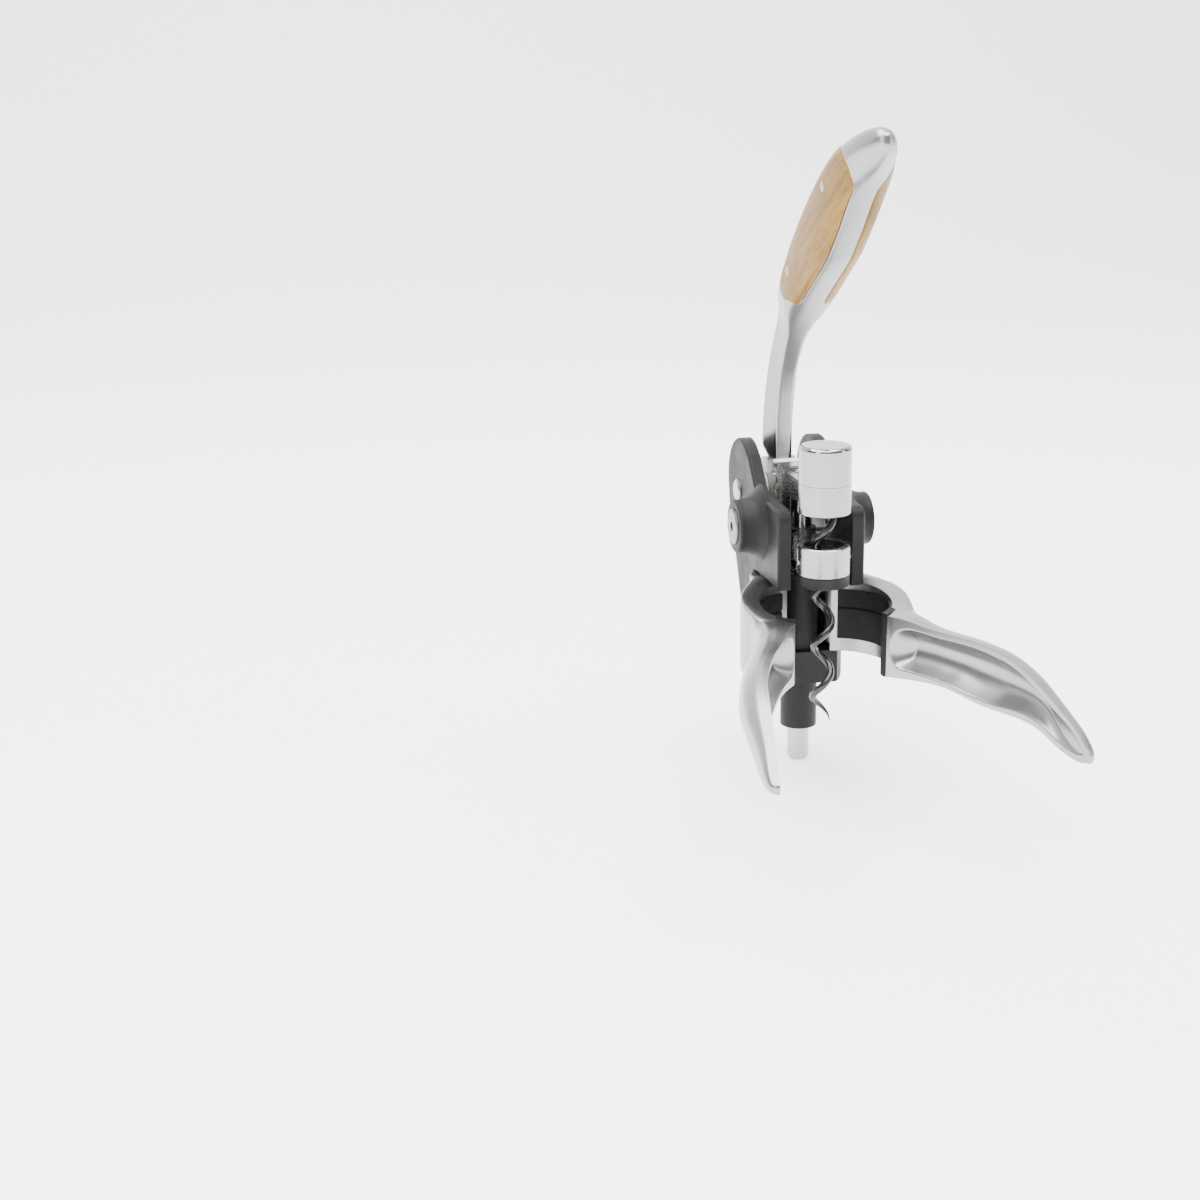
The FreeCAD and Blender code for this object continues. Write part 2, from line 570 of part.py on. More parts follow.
# ---------------------------------------------------------------- nut
def nut_carriage():
    """Ring round the worm, with an arm back to a sleeve on the guide rod and two ears."""
    ring = cylinder(HEAD_R, V(0, 0, PAD_HEIGHT), V(0, 0, RING_TOP))
    rims = [e for e in ring.Edges if e.BoundBox.ZLength < 1e-4]
    ring = ring.makeChamfer(0.3, rims)
    arm = box(ROD_X, -5.0, -3.4, 3.4, PAD_HEIGHT, RING_TOP - 1.0)
    sleeve = cylinder(SLEEVE_R, V(ROD_X, 0, 2.0), V(ROD_X, 0, RING_TOP))
    ears = box(ROD_X - 2.2, ROD_X + 2.2, -EAR_OUT, EAR_OUT, EAR_TOP - 5.0, EAR_TOP)
    body = fuse(ring, arm, sleeve, ears)
    body = body.cut(cylinder(RING_BORE_R, V(0, 0, 0), V(0, 0, RING_TOP + 1)))
    body = body.cut(cylinder(ROD_R + RUN, V(ROD_X, 0, 0), V(ROD_X, 0, RING_TOP + 1)))
    for side, height in guide_pin_places():
        body = body.cut(cylinder(PIN_R, V(0, side * 4.0, height), V(0, side * 9.0, height)))
    return body


def cork_pad():
    """Dark ring under the nut that presses on the cork."""
    pad = cylinder(HEAD_R - 0.05, V(0, 0, 0), V(0, 0, PAD_HEIGHT))
    low = [e for e in pad.Edges if abs(e.BoundBox.ZMax) < 1e-4]
    pad = pad.makeFillet(0.5, low)
    return pad.cut(cylinder(WORM_R + 0.5, V(0, 0, -1), V(0, 0, PAD_HEIGHT + 1)))


def worm_nut():
    """Bored insert that guides the worm; the two pins cross into its bore."""
    low = PAD_HEIGHT
    high = RING_TOP - 2.6
    insert = tube(RING_BORE_R, WORM_R + 0.35, V(0, 0, low), V(0, 0, high))
    for side, height in guide_pin_places():
        insert = insert.cut(cylinder(PIN_R, V(0, side * 3.0, height), V(0, side * 9.0, height)))
    return insert


def guide_pin_places():
    """Side and height of each pin. The left pin stands just above the place where the
    wire passes +Y; the right one is a little lower, on the side the wire is away from."""
    at_left = PHASE_Z + WORM_PITCH * (90.0 - WORM_PHASE) / 360.0
    slant = math.atan(WORM_PITCH / (2 * math.pi * (WORM_R - WIRE_R)))
    left = at_left + (WIRE_R + RUN * 6) / math.cos(slant) + PIN_R
    return ((-1, left - PIN_R), (1, left))


def guide_pin(side, height):
    """Round-ended pin driven through the ring towards the worm."""
    length = HEAD_R + 0.45 - (WORM_R - 0.9)
    pin = turned([(0, 0), (PIN_R, 0), (PIN_R, length - 0.5), (PIN_R - 0.4, length), (0, length)],
                 V(0, side * (WORM_R - 0.9), height), V(0, side, 0))
    return pin


# ---------------------------------------------------------------- grips
def stretched(x):
    """X of a drawn station once the handle is made longer or shorter."""
    root = HANDLE[0][0]
    return root + (x - root) * (TIP_X - root) / (DRAWN_TIP - root)


def handle_face(x):
    """Y of the handle's bowed inner face at a drawn X."""
    for (xa, _, _, ya, _, _), (xb, _, _, yb, _, _) in zip(HANDLE, HANDLE[1:]):
        if xa <= x <= xb:
            return ya + (yb - ya) * (x - xa) / (xb - xa)
    return GRIP_GAP


def bulged(x, inner, start, outer, top, bottom, squareness):
    """Closed section: flat from inner to start along top and bottom, bulging to outer."""
    middle = (top + bottom) / 2
    half = (top - bottom) / 2
    steps = 8
    bulge = []
    for i in range(steps + 1):
        t = math.pi * i / steps
        bulge.append(V(x, start + (outer - start) * math.sin(t) ** squareness, middle + half * math.cos(t)))
    curve = Part.BSplineCurve()
    curve.interpolate(bulge)
    top_in = V(x, inner, top)
    low_in = V(x, inner, bottom)
    return Part.Wire([Part.makeLine(low_in, top_in), Part.makeLine(top_in, bulge[0]),
                      curve.toShape(), Part.makeLine(bulge[-1], low_in)])


def handle():
    """Grip handle lofted through its stations, then dished on its inner face."""
    sections = []
    for x, top, bottom, inner, outer, land in HANDLE:
        sections.append(bulged(stretched(x), inner, inner + land, outer, top, bottom, 0.8))
    front = 1.0
    dish = []
    for x, top, bottom, depth in DISH:
        face = handle_face(x)
        dish.append(bulged(stretched(x), face - front, face, face + depth, top, bottom, 1.0))
    return Part.makeLoft(sections, True, False).cut(Part.makeLoft(dish, True, False))


def sector(inner, outer, a0, a1, z0, z1):
    """Part of a ring about the jaw's middle between two angles."""
    middle = V(NECK_X, NECK_Y, z0)
    ring = Part.makeCylinder(outer, z1 - z0, middle, V(0, 0, 1), a1 - a0)
    ring = ring.cut(Part.makeCylinder(inner, z1 - z0, middle, V(0, 0, 1), 360))
    ring.rotate(middle, V(0, 0, 1), a0)
    return ring


def angle_of(y, radius):
    """Angle about the jaw's middle where a circle of this radius reaches Y."""
    return math.degrees(math.asin((y - NECK_Y) / radius))


def grip():
    """Left grip casting: hinge barrel, web, jaw and handle."""
    metal_r = NECK_R + PAD_PROUD
    jaw_r = NECK_R + PAD_THICK + JAW_WALL
    barrel = cylinder(BARREL_R, V(HINGE_X, HINGE_Y, JAW_BOTTOM), V(HINGE_X, HINGE_Y, HEAD_BOTTOM - FACE_GAP))
    jaw = sector(metal_r - 1.0, jaw_r, JAW_FRONT, JAW_BACK, JAW_BOTTOM, JAW_TOP)
    web = plan_slab([(HINGE_X, HINGE_Y + BARREL_R - 0.2, 0), (NECK_X, NECK_Y + jaw_r - 0.3, 0),
                     (NECK_X, HINGE_Y, 0), (-14.5, 4.6, 0), (-19.0, 6.8, 0),
                     (HINGE_X, HINGE_Y - BARREL_R + 0.4, 0)], JAW_BOTTOM, JAW_TOP)
    above = [(x, -JAW_TOP) for x, z in JAW_EDGE]
    over = smooth_slab(above, JAW_EDGE, -2 * NECK_R, 3 * NECK_R)
    body = fuse(fuse(jaw, web).cut(over), barrel, handle())
    body = body.cut(cylinder(metal_r, V(NECK_X, NECK_Y, 2 * JAW_BOTTOM), V(NECK_X, NECK_Y, -JAW_TOP)))
    body = body.cut(box(2 * HINGE_X, 2 * TIP_X, -2 * NECK_R, GRIP_GAP, 2 * JAW_BOTTOM, -JAW_TOP))
    front = angle_of(GRIP_GAP, NECK_R)
    outer = NECK_R + PAD_THICK
    seat = sector(NECK_R - 2.0, outer, 0.0, JAW_BACK - STRIP_TURN, JAW_BOTTOM + BAND_HEIGHT, JAW_TOP - RIM_HEIGHT)
    strip = sector(NECK_R - 2.0, outer, 0.0, front + STRIP_TURN, JAW_BOTTOM + PIN_R, JAW_TOP - RIM_HEIGHT)
    body = body.cut(seat).cut(strip)
    return body.cut(cylinder(HINGE_PIN_R + RUN, V(HINGE_X, HINGE_Y, 2 * JAW_BOTTOM), V(HINGE_X, HINGE_Y, -JAW_TOP)))


def jaw_pad():
    """Rubber lining of the jaw, with a grip groove and a strip down its front end."""
    low = JAW_BOTTOM + BAND_HEIGHT
    high = JAW_TOP - RIM_HEIGHT
    outer = NECK_R + PAD_THICK
    front = angle_of(GRIP_GAP, NECK_R)
    pad = sector(NECK_R, outer, 0.0, JAW_BACK - STRIP_TURN, low, high)
    strip = sector(NECK_R, outer, 0.0, front + STRIP_TURN, JAW_BOTTOM + PIN_R, high)
    groove_z = high - GROOVE_SHARE * (high - low)
    groove = sector(NECK_R - 1.0, NECK_R + GROOVE_HALF, front + STRIP_TURN, JAW_BACK,
                    groove_z - GROOVE_HALF, groove_z + GROOVE_HALF)
    lining = fuse(pad, strip).cut(groove)
    return lining.cut(box(2 * HINGE_X, 2 * TIP_X, -2 * NECK_R, GRIP_GAP, 2 * JAW_BOTTOM, -JAW_TOP))


def hinge_pin():
    """Pin from the frame's head through the barrel into the foot."""
    return cylinder(HINGE_PIN_R, V(HINGE_X, HINGE_Y, FOOT_TOP - 6.0), V(HINGE_X, HINGE_Y, HEAD_BOTTOM + 4.0))


# ---------------------------------------------------------------- lever
UPPER_EDGE = ((7.0, 11.5), (12.0, 16.7), (21.0, 22.0), (32.3, 27.1), (43.5, 29.6), (60.0, 32.5),
              (78.4, 33.7), (96.0, 32.4), (113.7, 28.6), (124.0, 25.2), (130.5, 21.9))
LOWER_EDGE = ((7.5, 1.5), (14.0, 8.5), (26.7, 17.8), (37.9, 21.5), (49.2, 22.4), (60.0, 21.2),
              (75.4, 17.8), (88.0, 14.9), (101.9, 14.3), (114.0, 14.6), (124.0, 12.5), (130.5, 11.0))


def between(line, x0, x1):
    """Points of an edge line from x0 to x1, with the two ends worked out."""
    def at(x):
        for (xa, za), (xb, zb) in zip(line, line[1:]):
            if xa <= x <= xb:
                return za + (zb - za) * (x - xa) / (xb - xa)
        return line[-1][1]
    inner = [(x, z) for x, z in line if x0 + 1.5 < x < x1 - 1.5]
    return [(x0, at(x0))] + inner + [(x1, at(x1))]


def end_cap():
    """Rounded metal end of the handle, as wide as the scales where they meet."""
    side = side_slab([(SCALE_END, 25.3, 0), (131.8, 22.2, 9.0), (138.3, 16.6, 3.6), (136.0, 10.2, 3.4),
                      (SCALE_END, 12.6, 0)], -SCALE_OUT, SCALE_OUT)
    plan = plan_slab([(SCALE_END - 1, -SCALE_OUT, 0), (SCALE_END - 1, SCALE_OUT, 0), (130.0, 7.6, 8.0),
                      (137.8, 4.6, 3.6), (137.8, -4.6, 3.6), (130.0, -7.6, 8.0)], 0.0, 40.0)
    return side.common(plan)


def lever():
    """Gear hub, curved arm, tang and end cap in one casting."""
    hub = cylinder(PITCH_R - DEDENDUM, V(0, -GEAR_HALF, 0), V(0, GEAR_HALF, 0))
    teeth = [gear_tooth(k * 360.0 / TEETH - LEVER_RAISED) for k in range(-8, 3)]
    arm = smooth_slab(between(UPPER_EDGE, 7.0, SCALE_START), between(LOWER_EDGE, 7.5, SCALE_START),
                      -ARM_HALF_END, ARM_HALF_END)
    taper = plan_slab([(-14, -ARM_HALF_ROOT, 0), (-14, ARM_HALF_ROOT, 0), (12, ARM_HALF_ROOT, 0),
                       (SCALE_START + 1, ARM_HALF_END, 0), (SCALE_START + 1, -ARM_HALF_END, 0),
                       (12, -ARM_HALF_ROOT, 0)], -20, 60)
    tang = smooth_slab(between(UPPER_EDGE, SCALE_START, SCALE_END), between(LOWER_EDGE, SCALE_START, SCALE_END),
                       -TANG_HALF, TANG_HALF)
    body = fuse(hub, *teeth, arm.common(taper), tang, end_cap())
    body = body.cut(cylinder(PIVOT_PIN_R + RUN, V(0, -20, 0), V(0, 20, 0)))
    for x, z in RIVETS:
        body = body.cut(cylinder(RIVET_R, V(x, -20, z), V(x, 20, z)))
    return pose_lever(body)


def handle_scale():
    """Left wooden scale: flat against the tang, rounded outside."""
    inset = 0.5
    upper = [(x, z - inset * 0.4) for x, z in between(UPPER_EDGE, SCALE_START + 0.1, SCALE_END - 0.1)]
    lower = [(x, z + inset) for x, z in between(LOWER_EDGE, SCALE_START + 0.1, SCALE_END - 0.1)]
    slab = smooth_slab(upper, lower, TANG_HALF, SCALE_OUT)
    rim = [e for e in slab.Edges if e.Length > 20 and e.BoundBox.YMin > SCALE_OUT - 0.01]
    slab = slab.makeFillet(3.6, rim)
    for x, z in RIVETS:
        slab = slab.cut(cylinder(RIVET_R, V(x, -20, z), V(x, 20, z)))
    return slab


def rivet(place):
    """Domed rivet through the tang and both scales."""
    x, z = place
    bar = cylinder(RIVET_R, V(x, -SCALE_OUT, z), V(x, SCALE_OUT, z))
    dome = [(0, 0), (RIVET_R, 0), (RIVET_R - 0.3, 0.15), (0, 0.15)]
    ends = [turned(dome, V(x, side * SCALE_OUT, z), V(0, side, 0)) for side in (1, -1)]
    return pose_lever(fuse(bar, *ends))


# ---------------------------------------------------------------- write the parts
def main():
    save("frame", frame())
    save("pivot_pin", pivot_pin())
    save("upper_rod_bush", rod_bush(HEAD_BOTTOM))
    save("lower_rod_bush", rod_bush(COLUMN_BOTTOM + 2.0 + BUSH_LENGTH))
    save("lever", lever())
    save("front_rivet", rivet(RIVETS[1]))
    save("rear_rivet", rivet(RIVETS[0]))
    save("carrier", carrier())
    save("guide_rod", guide_rod())
    save("rod_screw", rod_screw())
    save("head_cap", head_cap())
    save("worm", worm())
    save("thrust_washer", thrust_washer())
    save("shank_clip", shank_clip())
    save("nut_carriage", nut_carriage())
    save("cork_pad", cork_pad())
    save("worm_nut", worm_nut())
    for name, side in SIDES:
        save(name + "_pivot_washer", sided(pivot_washer(), side))
        save(name + "_handle_scale", pose_lever(sided(handle_scale(), side)))
        save(name + "_grip", pose_grip(grip(), side))
        save(name + "_jaw_pad", pose_grip(jaw_pad(), side))
        save(name + "_hinge_pin", sided(hinge_pin(), side))
        save(name + "_detent_plug", sided(detent_plug(), side))
        save(name + "_detent_plunger", sided(detent_plunger(), side))
        save(name + "_detent_spring", sided(detent_spring(), side))
    for side, height in guide_pin_places():
        save(("left" if side > 0 else "right") + "_guide_pin", guide_pin(side, height))


main()
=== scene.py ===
import json
import math

import bpy
import numpy as np
from mathutils import Matrix, Vector


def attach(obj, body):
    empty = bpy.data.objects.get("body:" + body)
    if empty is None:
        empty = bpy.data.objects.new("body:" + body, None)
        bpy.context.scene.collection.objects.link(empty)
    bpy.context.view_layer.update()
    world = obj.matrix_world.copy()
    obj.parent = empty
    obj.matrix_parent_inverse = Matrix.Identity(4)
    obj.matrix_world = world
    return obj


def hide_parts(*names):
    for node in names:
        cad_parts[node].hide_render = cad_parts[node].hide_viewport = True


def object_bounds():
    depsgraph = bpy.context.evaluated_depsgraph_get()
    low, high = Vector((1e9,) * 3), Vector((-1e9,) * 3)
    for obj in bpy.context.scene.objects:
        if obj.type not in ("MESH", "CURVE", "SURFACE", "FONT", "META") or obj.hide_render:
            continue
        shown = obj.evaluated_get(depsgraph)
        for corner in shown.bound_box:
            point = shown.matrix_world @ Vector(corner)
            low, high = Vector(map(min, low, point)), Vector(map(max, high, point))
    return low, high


# Looks of a lever corkscrew, in metres, around its fixed CAD frame.
# The origin is on the worm's axis where the nut's pad meets the cork, +X points
# to the tips of the grips, +Y to the left grip and +Z up along the worm.

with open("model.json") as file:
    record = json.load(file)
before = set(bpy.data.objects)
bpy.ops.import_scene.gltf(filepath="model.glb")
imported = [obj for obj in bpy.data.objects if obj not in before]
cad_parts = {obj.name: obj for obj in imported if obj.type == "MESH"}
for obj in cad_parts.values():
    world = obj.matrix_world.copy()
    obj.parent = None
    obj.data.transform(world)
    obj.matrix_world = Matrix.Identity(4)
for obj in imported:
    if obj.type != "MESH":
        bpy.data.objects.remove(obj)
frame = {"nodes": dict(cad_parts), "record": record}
cad_box = [list(corner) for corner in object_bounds()]
nodes = frame["nodes"]
MM = 0.001

# ------------------------------------------------------------------ camera
CAMERA_AZIMUTH = 78.933       # degrees round the worm's axis
CAMERA_ELEVATION = 16.413
CAMERA_ROLL = -1.085
CAMERA_DISTANCE = 0.51897
CAMERA_SIDEWAYS = -0.063514   # how far the camera stands right of and above the worm's axis
CAMERA_UP = -0.004493
LENS = 54.718
SENSOR = 36.0


def place_camera():
    """Looks from the front left of the frame, a little down, rolled by about a degree."""
    a, e, roll = (math.radians(v) for v in (CAMERA_AZIMUTH, CAMERA_ELEVATION, CAMERA_ROLL))
    back = Vector((math.sin(a) * math.cos(e), -math.cos(a) * math.cos(e), math.sin(e)))
    level = Vector((math.cos(a), math.sin(a), 0.0))
    above = back.cross(level)
    right = level * math.cos(roll) + above * math.sin(roll)
    up = above * math.cos(roll) - level * math.sin(roll)
    data = bpy.data.cameras.new("camera")
    data.lens = LENS
    data.sensor_width = SENSOR
    data.clip_start = 0.01
    data.clip_end = 30.0
    camera = bpy.data.objects.new("camera", data)
    turn = Matrix((right, up, back)).transposed().to_4x4()
    spot = back * CAMERA_DISTANCE + right * CAMERA_SIDEWAYS + up * CAMERA_UP
    camera.matrix_world = Matrix.Translation(spot) @ turn
    bpy.context.scene.collection.objects.link(camera)
    bpy.context.scene.camera = camera


# ------------------------------------------------------------------ node tools
def new_group(name, inputs, outputs):
    """Shader node group with named sockets. inputs: (name, type, default); outputs: (name, type)."""
    group = bpy.data.node_groups.new(name, "ShaderNodeTree")
    for label, kind, default in inputs:
        socket = group.interface.new_socket(label, in_out="INPUT", socket_type=kind)
        socket.default_value = default
    for label, kind in outputs:
        group.interface.new_socket(label, in_out="OUTPUT", socket_type=kind)
    return group, group.nodes.new("NodeGroupInput"), group.nodes.new("NodeGroupOutput")


def add(tree, kind, **settings):
    """One node with its settings; a key that names an input socket sets that socket."""
    node = tree.nodes.new(kind)
    for key, value in settings.items():
        if hasattr(node, key):
            setattr(node, key, value)
        else:
            node.inputs[key].default_value = value
    return node


def math_node(tree, operation, first, second=None):
    """Math node fed by sockets or plain numbers; gives its output socket."""
    node = tree.nodes.new("ShaderNodeMath")
    node.operation = operation
    for slot, value in enumerate((first, second)):
        if value is None:
            continue
        if isinstance(value, (int, float)):
            node.inputs[slot].default_value = value
        else:
            tree.links.new(value, node.inputs[slot])
    return node.outputs[0]


def ramp(tree, value, low, high, out_low=0.0, out_high=1.0):
    """Smooth step of a value from low to high."""
    node = add(tree, "ShaderNodeMapRange", interpolation_type="SMOOTHSTEP")
    ends = {"From Min": low, "From Max": high, "To Min": out_low, "To Max": out_high}
    for label, number in ends.items():
        node.inputs[label].default_value = number
    tree.links.new(value, node.inputs["Value"])
    return node.outputs["Result"]


def build_speckle():
    """Fine cast or sprayed grain: a height, and a slow mottle for colour and roughness."""
    group, got, out = new_group(
        "speckle",
        [("Grain Size", "NodeSocketFloat", 2500.0), ("Mottle Size", "NodeSocketFloat", 120.0)],
        [("Height", "NodeSocketFloat"), ("Mottle", "NodeSocketFloat")])
    place = add(group, "ShaderNodeTexCoord")
    fine = add(group, "ShaderNodeTexNoise", Detail=3.0, Roughness=0.6)
    slow = add(group, "ShaderNodeTexNoise", Detail=4.0, Roughness=0.55)
    for node, size in ((fine, "Grain Size"), (slow, "Mottle Size")):
        group.links.new(place.outputs["Object"], node.inputs["Vector"])
        group.links.new(got.outputs[size], node.inputs["Scale"])
    group.links.new(fine.outputs["Fac"], out.inputs["Height"])
    group.links.new(slow.outputs["Fac"], out.inputs["Mottle"])
    return group


def build_brushing():
    """Fine scratches drawn out along one axis: noise squeezed along the other two."""
    group, got, out = new_group(
        "brushing",
        [("Stretch", "NodeSocketVector", (1.0, 1.0, 1.0)), ("Size", "NodeSocketFloat", 900.0)],
        [("Height", "NodeSocketFloat"), ("Streak", "NodeSocketFloat")])
    place = add(group, "ShaderNodeTexCoord")
    squeeze = add(group, "ShaderNodeVectorMath", operation="MULTIPLY")
    group.links.new(place.outputs["Object"], squeeze.inputs[0])
    group.links.new(got.outputs["Stretch"], squeeze.inputs[1])
    fine = add(group, "ShaderNodeTexNoise", Detail=5.0, Roughness=0.65)
    group.links.new(squeeze.outputs[0], fine.inputs["Vector"])
    group.links.new(got.outputs["Size"], fine.inputs["Scale"])
    slow = add(group, "ShaderNodeTexNoise", Scale=60.0, Detail=3.0)
    group.links.new(place.outputs["Object"], slow.inputs["Vector"])
    both = math_node(group, "MULTIPLY", fine.outputs["Fac"], 0.6)
    mixed = math_node(group, "MULTIPLY_ADD", slow.outputs["Fac"], 0.4)
    group.links.new(both, mixed.node.inputs[2])
    group.links.new(fine.outputs["Fac"], out.inputs["Height"])
    group.links.new(mixed, out.inputs["Streak"])
    return group


def build_oak():
    """Oak cut along the grain: slow tone bands, fine fibres and short dark pores,
    all drawn out along the axis that Mapping has turned to X."""
    group, got, out = new_group(
        "oak",
        [("Place", "NodeSocketVector", (0.0, 0.0, 0.0)),
         ("Pale", "NodeSocketColor", (0.7, 0.5, 0.3, 1.0)),
         ("Deep", "NodeSocketColor", (0.5, 0.3, 0.15, 1.0)),
         ("Pore", "NodeSocketColor", (0.3, 0.17, 0.08, 1.0))],
        [("Color", "NodeSocketColor"), ("Height", "NodeSocketFloat"), ("Pores", "NodeSocketFloat")])

    def stretched(x, y, z):
        node = add(group, "ShaderNodeVectorMath", operation="MULTIPLY")
        group.links.new(got.outputs["Place"], node.inputs[0])
        node.inputs[1].default_value = (x, y, z)
        return node.outputs[0]

    bands = add(group, "ShaderNodeTexNoise", Scale=1.0, Detail=4.0, Roughness=0.6, Distortion=0.6)
    group.links.new(stretched(35.0, 300.0, 420.0), bands.inputs["Vector"])
    fibres = add(group, "ShaderNodeTexNoise", Scale=1.0, Detail=3.0, Roughness=0.7)
    group.links.new(stretched(90.0, 2600.0, 2600.0), fibres.inputs["Vector"])
    pores = add(group, "ShaderNodeTexNoise", Scale=1.0, Detail=2.0, Roughness=0.5)
    group.links.new(stretched(220.0, 2300.0, 2300.0), pores.inputs["Vector"])
    dark = ramp(group, pores.outputs["Fac"], 0.60, 0.74)
    tone = math_node(group, "MULTIPLY_ADD", bands.outputs["Fac"], 0.7)
    tail = math_node(group, "MULTIPLY", fibres.outputs["Fac"], 0.3)
    group.links.new(tail, tone.node.inputs[2])
    shade = ramp(group, tone, 0.36, 0.64)
    wood = add(group, "ShaderNodeMix", data_type="RGBA")
    group.links.new(shade, wood.inputs[0])
    group.links.new(got.outputs["Deep"], wood.inputs[6])
    group.links.new(got.outputs["Pale"], wood.inputs[7])
    finish = add(group, "ShaderNodeMix", data_type="RGBA")
    group.links.new(math_node(group, "MULTIPLY", dark, 0.55), finish.inputs[0])
    group.links.new(wood.outputs[2], finish.inputs[6])
    group.links.new(got.outputs["Pore"], finish.inputs[7])
    height = math_node(group, "SUBTRACT", fibres.outputs["Fac"], dark)
    group.links.new(finish.outputs[2], out.inputs["Color"])
    group.links.new(height, out.inputs["Height"])
    group.links.new(dark, out.inputs["Pores"])
    return group


OAK_PALE = (0.235, 0.132, 0.022, 1.0)
OAK_DEEP = (0.135, 0.066, 0.008, 1.0)
OAK_PORE = (0.045, 0.019, 0.003, 1.0)
GRAIN_LEAN = 35.0             # degrees from X to the wood's grain
speckle = build_speckle()
brushing = build_brushing()
oak = build_oak()


def start_material(name, color, metallic, roughness):
    """Material with one Principled shader; gives (material, tree, shader)."""
    material = bpy.data.materials.new(name)
    material.use_nodes = True
    tree = material.node_tree
    shader = tree.nodes["Principled BSDF"]
    shader.inputs["Base Color"].default_value = (*color, 1.0)
    shader.inputs["Metallic"].default_value = metallic
    shader.inputs["Roughness"].default_value = roughness
    return material, tree, shader


def use(tree, group, **values):
    """Places a node group in a material with its own values."""
    node = tree.nodes.new("ShaderNodeGroup")
    node.node_tree = group
    for key, value in values.items():
        node.inputs[key.replace("_", " ")].default_value = value
    return node


def relief(tree, shader, height, strength, depth):
    """Bump from a height socket, with its depth in metres."""
    bump = add(tree, "ShaderNodeBump", Strength=strength, Distance=depth)
    tree.links.new(height, bump.inputs["Height"])
    tree.links.new(bump.outputs["Normal"], shader.inputs["Normal"])


def cast_finish(name, color, metallic, rough, spread, grain, mottle, strength, depth,
                tint=0.0, specular=0.5):
    """Sprayed, moulded or cast surface: speckle moves its roughness, relief and tone."""
    material, tree, shader = start_material(name, color, metallic, rough)
    shader.inputs["Specular IOR Level"].default_value = specular
    spots = use(tree, speckle, Grain_Size=grain, Mottle_Size=mottle)
    tree.links.new(ramp(tree, spots.outputs["Mottle"], 0.3, 0.7, rough - spread, rough + spread),
                   shader.inputs["Roughness"])
    if tint:
        mix = add(tree, "ShaderNodeMix", data_type="RGBA")
        mix.inputs[6].default_value = (*[c * (1 - tint) for c in color], 1.0)
        mix.inputs[7].default_value = (*[min(1.0, c * (1 + tint)) for c in color], 1.0)
        tree.links.new(spots.outputs["Mottle"], mix.inputs[0])
        tree.links.new(mix.outputs[2], shader.inputs["Base Color"])
    relief(tree, shader, spots.outputs["Height"], strength, depth)
    return material


def brushed_finish(name, color, rough, spread, stretch, size, strength, depth):
    """Metal with fine drawn scratches that vary its roughness."""
    material, tree, shader = start_material(name, color, 1.0, rough)
    lines = use(tree, brushing, Stretch=stretch, Size=size)
    tree.links.new(ramp(tree, lines.outputs["Streak"], 0.3, 0.7, rough - spread, rough + spread),
                   shader.inputs["Roughness"])
    relief(tree, shader, lines.outputs["Height"], strength, depth)
    return material


def oak_finish(name):
    """Oiled oak with its grain along the handle, turned to lie on the oak group's X axis."""
    material, tree, shader = start_material(name, (0.6, 0.4, 0.2), 0.0, 0.5)
    shader.inputs["Specular IOR Level"].default_value = 0.25
    place = add(tree, "ShaderNodeTexCoord")
    turn = add(tree, "ShaderNodeMapping")
    turn.inputs["Rotation"].default_value = (0.0, math.radians(GRAIN_LEAN), 0.0)
    tree.links.new(place.outputs["Object"], turn.inputs["Vector"])
    wood = use(tree, oak, Pale=OAK_PALE, Deep=OAK_DEEP, Pore=OAK_PORE)
    tree.links.new(turn.outputs["Vector"], wood.inputs["Place"])
    tree.links.new(wood.outputs["Color"], shader.inputs["Base Color"])
    tree.links.new(ramp(tree, wood.outputs["Pores"], 0.0, 1.0, 0.42, 0.62), shader.inputs["Roughness"])
    relief(tree, shader, wood.outputs["Height"], 0.5, 0.00006)
    return material


